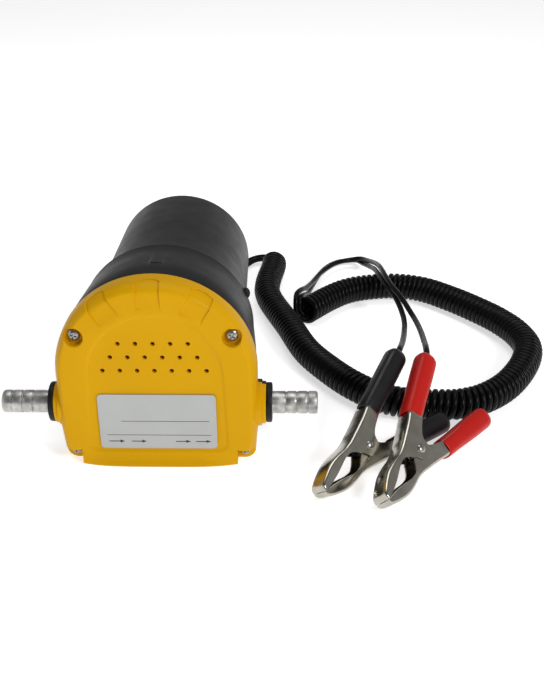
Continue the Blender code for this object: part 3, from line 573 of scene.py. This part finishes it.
def sheet_of(bm, loops, lines, inside, height):
    """Triangulate loops and lines in the front view and lift every point to its depth."""
    points, edges = [], []
    for group, closed in ((loops, True), (lines, False)):
        for loop in group:
            first = len(points)
            points += [Vector(p) for p in loop]
            edges += [(first + i, first + i + 1) for i in range(len(loop) - 1)]
            if closed:
                edges.append((first + len(loop) - 1, first))
    flat, _, faces, *_ = geometry.delaunay_2d_cdt(points, edges, [], 0, 1e-5)
    verts = {}
    made = []
    for face in faces:
        middle = sum((flat[i] for i in face), Vector((0, 0))) / len(face)
        if not inside(*middle):
            continue
        for i in face:
            if i not in verts:
                verts[i] = bm.verts.new(at(flat[i].x, height(*flat[i]), flat[i].y))
        made.append(bm.faces.new([verts[i] for i in face]))
    return made


def boundary_loop(faces):
    """Vertices round the outer edge of a sheet, in order."""
    edges = {e for f in faces for e in f.edges if len(e.link_faces) == 1}
    edge = edges.pop()
    start, vert = edge.verts
    loop = [start]
    while vert != start:
        loop.append(vert)
        edge = next(e for e in vert.link_edges if e in edges)
        edges.discard(edge)
        vert = edge.other_vert(vert)
    return loop


def solid(name, bm, degrees=38):
    """Plain helper object with a mesh, for joining or cutting."""
    obj = bpy.data.objects.new(name, to_mesh(bm, name, degrees))
    bpy.context.scene.collection.objects.link(obj)
    return obj


def combined(base, changes, name, degrees=38):
    """Mesh of base after a list of (operation, other object); the helpers are removed."""
    for i, (operation, other) in enumerate(changes):
        modifier = base.modifiers.new(f"change_{i}", "BOOLEAN")
        modifier.operation = operation
        modifier.solver = "EXACT"
        modifier.object = other
    bpy.context.view_layer.update()
    evaluated = base.evaluated_get(bpy.context.evaluated_depsgraph_get())
    mesh = bpy.data.meshes.new_from_object(evaluated)
    mesh.name = name
    for obj in [base] + [other for _, other in changes]:
        bpy.data.objects.remove(obj)
    mesh.materials.clear()
    return smooth(mesh, degrees)


def block(matrix):
    """Unit cube placed by a matrix."""
    bm = bmesh.new()
    bmesh.ops.create_cube(bm, size=1, matrix=matrix)
    return solid("block", bm)


BOSS_END = {-1: 52.6, 1: 54.0}      # how far out the ring round each barb reaches
BOSS_GAP = 0.013                    # radians left open at each side of the joint
PORT_R, PORT_FROM, PORT_TO = 6.3, 30.0, 60.0


def boss_profile(side):
    """Outline of the ring round a hose barb, as (radius, distance from the axis)."""
    end = BOSS_END[side]
    return [(5.0, 44.0), (11.9, 44.0), (11.9, end - 2.4), (11.6, end - 2.1), (10.9, end - 2.0),
            (10.8, end - 0.4), (10.4, end), (5.0, end)]


def port_cutter(side):
    outline = [(0, PORT_FROM), (PORT_R, PORT_FROM), (PORT_R, PORT_TO), (0, PORT_TO)]
    return solid("port_cutter", lathe(outline, side_frame(side), 48))


def half_boss(side, front):
    """The cover carries the front half of each ring and the housing the rear half."""
    start = BOSS_GAP + (0.0 if (side > 0) == front else math.pi)
    half = lathe(boss_profile(side), side_frame(side), 40, start, math.pi - 2 * BOSS_GAP)
    return solid("boss", half)


def port_changes(front):
    """The half ring and the bore at each hose barb."""
    changes = []
    for side in (-1, 1):
        changes += [("UNION", half_boss(side, front)), ("DIFFERENCE", port_cutter(side))]
    return changes


def front_loops():
    """Closed lines that the cover's front mesh has to follow."""
    levels = sorted({s for s, _ in SHOULDER} | {s + TAB_SUNK for s, _ in SHOULDER[:6]})
    loops = [contour(casing_inset, 0.0)] + [contour(shoulder_inset, level) for level in levels if level > 0]
    loops += [contour(panel_inset, PANEL_EDGE * k / 4, 160) for k in range(5)]
    for x, z, _ in POCKETS:
        loops += [round_loop(x, z, r, 40) for r in (POCKET_R - THIN, POCKET_R + THIN, POCKET_R + POCKET_EDGE)]
    for x, z in VENTS:
        loops += [round_loop(x, z, VENT_R + k * THIN, 20) for k in (-1, 1)]
    return loops


def front_lines():
    """Open lines that it has to follow: tabs, lower lip and corner notches."""
    lines = []
    for angle in TAB_ANGLES:
        a = math.radians(angle)
        for offset in (0.0, TAB_WALL):
            half = TAB_HALF - TAB_WALL / 2 + offset
            marks = [[(TAB_START, v), (56, v)] for v in (-half, half)]
            if offset == 0:
                marks += [[(44, v), (52, v)] for v in (-5.2, -4.4, -3.2, -1.6, 0.0, 1.6, 3.2, 4.4, 5.2)]
                marks += [[(TAB_START + u, -half), (TAB_START + u, half)] for u in range(TAB_RISE + 1)]
            lines += [[(u * math.cos(a) - v * math.sin(a), AXIS_Z + u * math.sin(a) + v * math.cos(a))
                       for u, v in line] for line in marks]
    lines += [[(-NOTCH_X, LIP_RISE * k / 4), (NOTCH_X, LIP_RISE * k / 4)] for k in range(1, 5)]
    lines += [[(NOTCH_X * k / 6, 0.1), (NOTCH_X * k / 6, LIP_RISE)] for k in range(-5, 6)]
    for side in (-1, 1):
        for k in (-THIN, THIN):
            x, z = NOTCH_X + k, NOTCH_Z - k
            lines.append([(side * x, -2), (side * x, z - 1.0), (side * (x + 0.3), z - 0.3),
                          (side * (x + 1.0), z), (side * 56, z)])
    return lines


def back_sheet(bm, outline):
    """The cover's rear surface, inside the outline of its front."""
    loops = [outline] + [contour(casing_inset, COVER_WALL + k * THIN, 160) for k in (-1, 1)]
    for x, z, _ in POCKETS:
        loops += [round_loop(x * POST_SHIFT, z, POST_R + k * THIN, 24) for k in (-1, 1)]
    lines = [[(side * (POST_X + k), 2), (side * (POST_X + k), POST_Z - k), (side * 48, POST_Z - k)]
             for side in (-1, 1) for k in (-THIN, THIN)]
    return sheet_of(bm, loops, lines, inside_casing, cover_back_depth)


def make_cover():
    bm = bmesh.new()
    rim = boundary_loop(sheet_of(bm, front_loops(), front_lines(), inside_casing, cover_depth))
    back_rim = boundary_loop(back_sheet(bm, [(v.co.x / MM, v.co.z / MM) for v in rim]))
    partners = [min(back_rim, key=lambda b: (b.co.x - v.co.x) ** 2 + (b.co.z - v.co.z) ** 2) for v in rim]
    for i, (front_vert, back_vert) in enumerate(zip(rim, partners)):
        j = (i + 1) % len(rim)
        corners = (front_vert, rim[j], partners[j]) + ((back_vert,) if back_vert != partners[j] else ())
        bm.faces.new(corners)
    changes = port_changes(True)
    mesh = combined(solid("cover_blank", bm, 30), changes, "front_cover", 30)
    piece("yellow_front_cover", mesh, [YELLOW, PAINTED_VENT_SHADE], "pump", "front_cover", "yellow_cover")
    # faces on the vent pits' floors take the painted vent shade
    floor_y = (VENT_DEPTH + FRONT_Y) * MM
    for face in mesh.polygons:
        x, z = face.center.x / MM, face.center.z / MM
        if abs(face.center.y - floor_y) < 0.2 * MM and in_vent(x, z):
            face.material_index = 1


make_cover()


# -------------------- label

def plate(bm, outline, front, back):
    """Flat plate in the front view, between two depths."""
    made = skin(bm, [[at(x, d, z) for x, z in outline] for d in (front, back)])
    bm.faces.new(made[0])
    bm.faces.new(made[1])


def rounded_box(low_x, high_x, low_z, high_z, corner, steps=6):
    """Outline of a rectangle with round corners."""
    outline = []
    for x, z, start in ((high_x, high_z, 0), (low_x, high_z, 90), (low_x, low_z, 180), (high_x, low_z, 270)):
        cx = x - math.copysign(corner, x - (low_x + high_x) / 2)
        cz = z - math.copysign(corner, z - (low_z + high_z) / 2)
        outline += [(cx + corner * math.cos(math.radians(start + 90 * i / steps)),
                     cz + corner * math.sin(math.radians(start + 90 * i / steps))) for i in range(steps + 1)]
    return outline


def make_label():
    bm = bmesh.new()
    plate(bm, rounded_box(-29.5, 29.5, 9.6, 40.9, 2.2), 0.12, 0.5)
    piece("rating_label", to_mesh(bm, "rating_label"), [LABEL], "pump", "label_plate", "label")
    bm = bmesh.new()
    # blank rules and four flow arrows; the wording of a real plate is left out
    for low, high, z in ((-18.4, 26.0, 25.6), (-26.0, 26.6, 17.5)):
        plate(bm, [(low, z - 0.14), (high, z - 0.14), (high, z + 0.14), (low, z + 0.14)], 0.09, 0.14)
    for low, high in ((-25.2, -17.2), (-13.7, -6.1), (8.6, 16.2), (18.8, 26.4)):
        plate(bm, [(low, 13.55), (high - 2.4, 13.55), (high - 2.4, 12.9), (high, 13.8), (high - 2.4, 14.7),
                   (high - 2.4, 14.05), (low, 14.05)], 0.09, 0.14)
    piece("label_rules", to_mesh(bm, "label_rules"), [INK], "pump", slot="label")


make_label()


# -------------------- screws

def make_screws():
    for name, (x, z, seat) in SCREWS.items():
        top = seat - 2.0
        head = [(0, top), (1.1, top + 0.05), (2.1, top + 0.3), (2.8, top + 0.75), (3.15, top + 1.3),
                (3.15, top + 1.9), (1.9, top + 1.95), (1.9, 24.0), (0, 25.5)]
        slots = []
        for turn in (20, 110):
            matrix = depth_frame(x, z) @ Matrix.Rotation(math.radians(turn + x), 4, "Z")
            size = Matrix.Diagonal((3.5 * MM, 0.7 * MM, 2.2 * MM, 1))
            slots.append(("DIFFERENCE", block(matrix @ Matrix.Translation((0, 0, top * MM)) @ size)))
        blank = solid("head", lathe(head, depth_frame(x, z), 40), 30)
        mesh = combined(blank, slots, f"screw_{name}", 30)
        piece(f"screw_{name}", mesh, [STEEL], "pump", f"cover_screw_{name}")


make_screws()


# -------------------- motor housing

HOUSING_FRONT = 13.35
FOOT_DEPTH, FOOT_HALF, FOOT_H = 126, 14, 14.0


def make_foot():
    foot = bmesh.new()
    outline = rounded_box(-20, 20, FOOT_DEPTH - FOOT_HALF, FOOT_DEPTH + FOOT_HALF, 3.0, 8)
    levels = [(0.0, 1.0), (0.3, 0.3), (1.0, 0.0), (FOOT_H, 0.0)]
    made = skin(foot, [[at(x * (1 - shrink / 20),
                           FOOT_DEPTH + (d - FOOT_DEPTH) * (1 - shrink / FOOT_HALF), z) for x, d in outline]
                       for z, shrink in levels])
    foot.faces.new(made[0])
    foot.faces.new(made[-1])
    return solid("foot", foot)


def bulge(name, centre, radii):
    """Ellipsoid that stands a little out of the housing."""
    bm = bmesh.new()
    size = Matrix.Diagonal((*(r * MM for r in radii), 1))
    bmesh.ops.create_uvsphere(bm, u_segments=24, v_segments=12, radius=1,
                              matrix=Matrix.Translation(centre) @ size)
    return solid(name, bm)


def make_housing():
    def box(depth, radius, base=0.0, corner=5.0):
        return depth, contour(casing_inset, 0.0, radius=radius, base=base, corner=corner)

    def tube_at(depth, radius):
        return depth, round_loop(0, AXIS_Z, radius, RAYS)

    outside = [box(HOUSING_FRONT + 0.35, 49.4, 0.3), box(HOUSING_FRONT + 0.8, 49.65), box(30, 48.5),
               box(45, 47.2), box(57.6, 46.0), box(58.4, 46.15), box(59.3, 46.1, 0.0, 5.2),
               box(60.0, 45.75, 0.3, 5.6), box(60.5, 45.0, 0.9, 6.2)]
    edge, neck = outside[-1][1], round_loop(0, AXIS_Z, 41.0, RAYS)
    for depth, mix in ((60.9, 0.2), (61.4, 0.5), (62.1, 0.78), (63.2, 0.93)):
        outside.append((depth, [(a[0] + (b[0] - a[0]) * mix, a[1] + (b[1] - a[1]) * mix)
                                for a, b in zip(edge, neck)]))
    outside += [tube_at(66.0, 40.85), tube_at(100, 40.2), tube_at(150.8, 39.2), tube_at(152.6, 39.0),
                tube_at(154.0, 38.4), tube_at(154.8, 37.5), tube_at(155.0, 36.6), tube_at(155.0, 35.3),
                tube_at(154.6, 34.8), tube_at(153.8, 34.55), tube_at(150.6, 34.4), tube_at(150.1, 34.2),
                tube_at(150.0, 33.6)]
    inside = [tube_at(147.0, 36.2), tube_at(55.5, 36.4), box(55.5, 43.0, 3.0), box(HOUSING_FRONT, 46.2, 3.0),
              box(HOUSING_FRONT, 49.1, 0.5)]
    bm = bmesh.new()
    rings = [[at(x, depth, z) for x, z in ring] for depth, ring in outside]
    inner = [[at(x, depth, z) for x, z in ring] for depth, ring in inside]
    skin(bm, [inner[-1]] + rings + [[at(0, 150.0, AXIS_Z)]])
    skin(bm, [[at(0, 147.0, AXIS_Z)]] + inner)
    bmesh.ops.remove_doubles(bm, verts=bm.verts, dist=1e-7)
    changes = port_changes(False)
    changes += [("UNION", make_foot()), ("UNION", bulge("ridge", at(0, 30, AXIS_Z + 48.0), (3.6, 0.7, 0.9))),
                ("UNION", bulge("catch", at(42.2, 59.6, 68.6), (2.3, 2.0, 3.2)))]
    switch_hole = Matrix.Translation(at(0, 148.5, 67)) @ Matrix.Diagonal((19.4 * MM, 14 * MM, 13 * MM, 1))
    changes.append(("DIFFERENCE", block(switch_hole)))
    hole = lathe([(0, 140), (3.6, 140), (3.6, 160), (0, 160)], depth_frame(CORD_X, CORD_Z), 32)
    changes.append(("DIFFERENCE", solid("cord_hole", hole)))
    mesh = combined(solid("housing_blank", bm, 34), changes, "motor_housing", 34)
    piece("motor_casing", mesh, [BLACK], "pump", "motor_housing", "black_housing")


make_housing()


# -------------------- barbs and collars

BARB_R = 5.8


def make_barbs():
    r = BARB_R
    profile = [(r - 1.8, 24.4), (r + 0.1, 24.4), (r + 0.1, 40), (r - 0.1, 42), (r - 0.1, 55)]
    for start in (64.0, 69.4, 74.8):
        profile += [(r, start - 0.5), (r - 0.07, start - 0.3), (r - 0.45, start - 0.05),
                    (r - 0.45, start + 0.4),
                    (r - 0.07, start + 0.65), (r, start + 0.85)]
    profile += [(r, 78.6), (r - 0.2, 79.4), (r - 0.6, 79.9), (r - 0.8, 80.0), (r - 1.4, 80.0),
                (r - 1.7, 79.8), (r - 1.8, 79.4)]
    for name, side in (("inlet", -1), ("outlet", 1)):
        barb = lathe(profile, side_frame(side), 72)
        piece(f"{name}_hose_barb", to_mesh(barb, name, 32), [ALUMINIUM], "pump", f"{name}_barb")
        end = BOSS_END[side]
        collar = [(5.95, end + 0.05), (9.8, end + 0.05), (10.1, end + 0.35), (10.2, end + 0.8),
                  (10.2, end + 2.3), (10.0, end + 2.8), (9.5, end + 3.05),
                  (6.4, end + 3.05), (5.95, end + 2.7)]
        ring = lathe(collar, side_frame(side), 72)
        piece(f"{name}_rubber_collar", to_mesh(ring, name, 40), [RUBBER], "pump", f"{name}_collar")


make_barbs()


# -------------------- strain relief

def make_strain_relief():
    sections = [(150.2, 3.4, 3.4), (150.3, 5.0, 5.0), (150.6, 5.2, 5.2), (152.1, 5.2, 5.2), (152.5, 4.9, 4.9)]
    for i in range(6):
        start, share = 153.0 + i * 3.2, i / 6
        wide, tall = 4.7 - 0.4 * share, 4.4 - 1.6 * share
        sections += [(start, wide - 0.7, tall - 0.7), (start + 0.5, wide - 0.7, tall - 0.7),
                     (start + 0.8, wide, tall), (start + 2.5, wide - 0.05, tall - 0.1)]
    sections += [(172.5, 3.9, 2.5), (173.2, 3.6, 2.2), (173.2, 3.3, 1.8), (171.0, 3.3, 1.8)]
    bm = bmesh.new()
    rings = [[at(CORD_X + w * math.cos(TAU * i / 48), depth, CORD_Z + t * math.sin(TAU * i / 48))
              for i in range(48)] for depth, w, t in sections]
    skin(bm, [[at(CORD_X, 150.2, CORD_Z)]] + rings + [[at(CORD_X, 171.0, CORD_Z)]])
    return piece("strain_relief", to_mesh(bm, "strain_relief", 34), [RUBBER], "pump", "cord_gland")


STRAIN_RELIEF = make_strain_relief()


# -------------------- battery clips

SHEET = 0.9
CLIP_W = 5.5
NEST_W = 4.2
BEND_R = 1.7
HANDLE_TOP, HANDLE_EDGE = 4.0, -4.0
GRIP_Y, GRIP_Z, GRIP_END = 5.75, 5.15, 5.4      # half sizes of a sleeve and length of its rounded end
SPRING_R, SPRING_W = 3.6, 2.4
# Stations along a lever: crest of the sheet, free edge of its cheeks and, on the jaw, half its width.
JAW_STATIONS = [
    ((-37.6, 1.5), (-37.5, 0.15), 4.9), ((-37.1, 2.7), (-36.9, 0.2), 5.35),
    ((-35.6, 4.1), (-35.4, 0.35), 5.5),
    ((-32.0, 5.8), (-31.4, 0.8), 5.5), ((-27.0, 7.5), (-26.0, 1.9), 5.5), ((-22.5, 8.2), (-21.5, 3.2), 5.5),
    ((-18.0, 8.3), (-17.2, 4.4), 5.5), ((-14.0, 8.1), (-12.8, 4.6), 5.5), ((-11.2, 8.25), (-10.0, 2.9), 5.5)]
PIVOT_STATIONS = [
    ((-8.6, 8.6), (-7.6, 0.6)), ((-6.0, 9.2), (-5.2, -1.4)), ((-4.0, 9.8), (-4.1, -3.5)),
    ((-2.0, 10.35), (-2.3, -4.9)), ((0.0, 10.9), (0.0, -5.4)), ((2.0, 11.5), (2.3, -4.9)),
    ((4.0, 12.1), (4.1, -3.5)), ((6.2, 12.8), (5.2, -1.4)), ((8.2, 13.5), (5.9, 1.7)),
    ((10.2, 14.2), (8.6, 4.3))]


def lever_stations(lead):
    """Finer stations of a lever, from the jaw's tip to the end of its handle."""
    wide = CLIP_W if lead else NEST_W
    stations = [(top, edge, half if lead else max(wide, min(half, 4.9) - 0.7 * step(top[0], -24, -11)))
                for top, edge, half in JAW_STATIONS]
    stations += [(top, edge, wide) for top, edge in PIVOT_STATIONS]
    for along, half in ((16.0, wide - 0.2), (19.0, 4.25), (24.0, 4.2), (40.0, 4.2), (52.6, 4.2), (54.0, 3.6)):
        stations.append((along_handle(along, HANDLE_TOP), along_handle(along, HANDLE_EDGE), half))
    result = []
    for i, (a, b) in enumerate(zip(stations, stations[1:])):
        for k in range(3):
            t = k / 3
            tops, edges = (catmull([Vector(stations[min(max(i + j, 0), len(stations) - 1)][track])
                                    for j in (-1, 0, 1, 2)], t) for track in (0, 1))
            result.append((tops, edges, a[2] + (b[2] - a[2]) * t))
    last = stations[-1]
    return result + [(Vector(last[0]), Vector(last[1]), last[2])]


def channel_section(top, edge, half, flip, matrix):
    """Closed outline of a bent sheet at one station, in the frame; the jaw's tip is solid."""
    down = (edge - top).normalized()
    deep = (edge - top).length
    bend = min(BEND_R, 0.45 * deep, 0.45 * half)
    thick = min(SHEET, 0.4 * deep)
    thick += (deep - 0.05 - thick) * (1 - step(top.x, -37.3, -36.2))
    arc = [math.radians(90 * k / 4) for k in range(5)]
    outer = [(deep, half)] + [(bend - bend * math.sin(a), half - bend + bend * math.cos(a)) for a in arc]
    inner_bend = max(bend - thick, 0.1)
    corner = (bend if bend > thick else thick + 0.1, half - thick - inner_bend)
    inner = [(deep, half - thick)]
    inner += [(corner[0] - inner_bend * math.sin(a) if bend <= thick else bend - inner_bend * math.sin(a),
               corner[1] + inner_bend * math.cos(a)) for a in arc]
    ring = outer + [(u, -v) for u, v in reversed(outer)] + [(u, -v) for u, v in inner] + list(reversed(inner))
    points = []
    for u, v in ring:
        p = top + down * u
        points.append(matrix @ (Vector((p.x, -p.y if flip else p.y, v)) * MM))
    return points


def make_lever(name, lead, matrix, body):
    bm = bmesh.new()
    rings = [channel_section(top, edge, half, not lead, matrix) for top, edge, half in lever_stations(lead)]
    made = skin(bm, rings)
    for end in (made[0], made[-1]):
        count = len(end) // 4
        outer, inner = end[:2 * count], end[2 * count:][::-1]
        for j in range(2 * count - 1):
            bm.faces.new((outer[j], outer[j + 1], inner[j + 1], inner[j]))
    bmesh.ops.remove_doubles(bm, verts=bm.verts, dist=1e-7)
    piece(f"{name}_sheet", to_mesh(bm, name, 50), [NICKEL], body, name)


def make_sleeve(name, lead, matrix, body, material):
    """Vinyl grip: soft rectangular section, rounded closed end and an open lip round the handle."""
    def ring(along, half_y, half_z, power=2.9):
        points = []
        for i in range(56):
            c, s = math.cos(TAU * i / 56), math.sin(TAU * i / 56)
            y = half_y * math.copysign(abs(c) ** (2 / power), c)
            z = half_z * math.copysign(abs(s) ** (2 / power), s)
            px, py = along_handle(along, y)
            points.append(matrix @ (Vector((px, py if lead else -py, z)) * MM))
        return points

    y, z = GRIP_Y, GRIP_Z
    slim = 0.3 if lead else 0.7
    start, end = SLEEVE_START, SLEEVE_END
    rings = [ring(24.0, 4.1, 4.3), ring(start + 0.5, 4.15, 4.35), ring(start + 0.1, 4.3, 4.45),
             ring(start, 4.6, 4.6), ring(start + 0.15, y - slim - 0.15, 4.8),
             ring(start + 0.6, y - slim, 4.9),
             ring(start + 9, y - 0.9 * slim, 4.95), ring(start + 18, y - 0.5 * slim, 5.05),
             ring(start + 27, y - 0.1 * slim, z), ring(end - 7.0, y, z, 2.8), ring(end - GRIP_END, y, z, 2.7)]
    for k in range(1, 9):
        turn = math.radians(90 * k / 9)
        shrink = math.cos(turn)
        rings.append(ring(end - GRIP_END + GRIP_END * math.sin(turn), 0.8 + (y - 0.8) * shrink,
                          0.7 + (z - 0.7) * shrink, 2.3 + 0.4 * shrink))
    bm = bmesh.new()
    tip = Vector((*along_handle(end, 0.0), 0))
    hollow = Vector((*along_handle(24.0, 0.0), 0))
    if not lead:
        tip.y, hollow.y = -tip.y, -hollow.y
    skin(bm, [[matrix @ (hollow * MM)]] + rings + [[matrix @ (tip * MM)]])
    return piece(f"{name}_grip", to_mesh(bm, name, 60), [material], body, name)


def make_clip(colour, matrix, material):
    """A battery clip; returns its two grips, the one with the lead first."""
    moving = f"{colour}_clip_lever"
    grips = []
    for kind, lead, body in (("lead", True, "pump"), ("free", False, moving)):
        make_lever(f"{colour}_clip_{kind}_lever", lead, matrix, body)
        grips.append(make_sleeve(f"{colour}_clip_{kind}_sleeve", lead, matrix, body, material))
    dome = [(0, 6.6), (0.9, 6.52), (1.7, 6.25), (2.2, 5.9), (2.35, 5.6), (2.35, 5.4), (1.9, 5.4)]
    pin = lathe(dome + [(r, -h) for r, h in reversed(dome)], matrix, 40)
    piece(f"{colour}_clip_pin", to_mesh(pin, "pin", 40), [STEEL], "pump", f"{colour}_clip_rivet")
    wire = [(9.6, 6.3, -SPRING_W), (7.4, 5.6, -SPRING_W), (4.4, 4.4, -SPRING_W)]
    for i in range(41):
        turn = math.radians(60 + 24 * i)
        wire.append((SPRING_R * math.cos(turn), SPRING_R * math.sin(turn), -SPRING_W + 2 * SPRING_W * i / 40))
    wire += [(5.2, -4.4, SPRING_W), (9.7, -6.2, SPRING_W)]
    points = spline([matrix @ (Vector(p) * MM) for p in wire], 0.8 * MM)
    piece(f"{colour}_clip_coil_spring", tube("spring", points, 0.6, 2), [STEEL], "pump",
          f"{colour}_clip_spring")
    return grips


for clip_colour, (clip_x, clip_y, clip_origin, _) in CLIPS.items():
    make_clip(clip_colour, clip_frame(clip_x, clip_y, clip_origin),
                                   RED if clip_colour == "red" else BLACK_VINYL)


# -------------------- floor, light and finish

FRONT_SKY, BACK_SKY, HORIZON, SIDE_SKY = 0.06, 0.24, 0.52, 0.34
FLOOR_HALF, FLOOR_Z, FLOOR_GLOW = 3, -0.0002, 0.62
LIGHTS = (("key", (0.75, -0.75, 0.75), (0, -0.03, 0.05), 0.3, 7.0),     # name, place, aim, size, power
          ("fill", (-0.9, -0.5, 0.5), (0, 0, 0.04), 0.5, 1.0),
          ("top", (0.0, 0.25, 1.3), (0, 0, 0), 0.8, 5.0))


def make_sky():
    """Soft studio surround: dark towards the front and overhead, light behind and along the horizon."""
    world = bpy.data.worlds.new("studio")
    bpy.context.scene.world = world
    world.use_nodes = True
    nodes, links = nodes_of(world)
    place = nodes.new("ShaderNodeTexCoord")
    split = nodes.new("ShaderNodeSeparateXYZ")
    links.new(place.outputs["Generated"], split.inputs["Vector"])

    def blend(value, low, high, first, second):
        made = nodes.new("ShaderNodeMapRange")
        made.interpolation_type = "SMOOTHSTEP"
        links.new(value, made.inputs["Value"])
        for key, number in (("From Min", low), ("From Max", high)):
            made.inputs[key].default_value = number
        for key, source in (("To Min", first), ("To Max", second)):
            if isinstance(source, float):
                made.inputs[key].default_value = source
            else:
                links.new(source, made.inputs[key])
        return made.outputs["Result"]

    upper = blend(split.outputs["Y"], -0.35, 0.45, FRONT_SKY, BACK_SKY)
    sided = blend(split.outputs["X"], 0.35, 0.85, upper, SIDE_SKY)
    level = blend(split.outputs["Z"], 0.05, 0.45, HORIZON, sided)
    links.new(level, nodes["Background"].inputs["Strength"])
    nodes["Background"].inputs["Color"].default_value = (1, 1, 1, 1)


def make_stage():
    bpy.context.scene.view_settings.view_transform = "Standard"
    mesh = bpy.data.meshes.new("floor")
    corners = ((-1, -1), (1, -1), (1, 1), (-1, 1))
    mesh.from_pydata([(x * FLOOR_HALF, y * FLOOR_HALF, FLOOR_Z) for x, y in corners], [], [(0, 1, 2, 3)])
    shader = FLOOR.node_tree.nodes["Principled BSDF"]
    shader.inputs["Emission Color"].default_value = (1, 1, 1, 1)
    shader.inputs["Emission Strength"].default_value = FLOOR_GLOW
    mesh.materials.append(FLOOR)
    floor = bpy.data.objects.new("floor", mesh)
    bpy.context.scene.collection.objects.link(floor)
    for name, place, aim, size, power in LIGHTS:
        light = bpy.data.lights.new(name, "AREA")
        light.size = size
        light.energy = power
        obj = bpy.data.objects.new(name, light)
        bpy.context.scene.collection.objects.link(obj)
        obj.location = place
        obj.rotation_euler = (Vector(place) - Vector(aim)).to_track_quat("Z", "Y").to_euler()


make_sky()
make_stage()
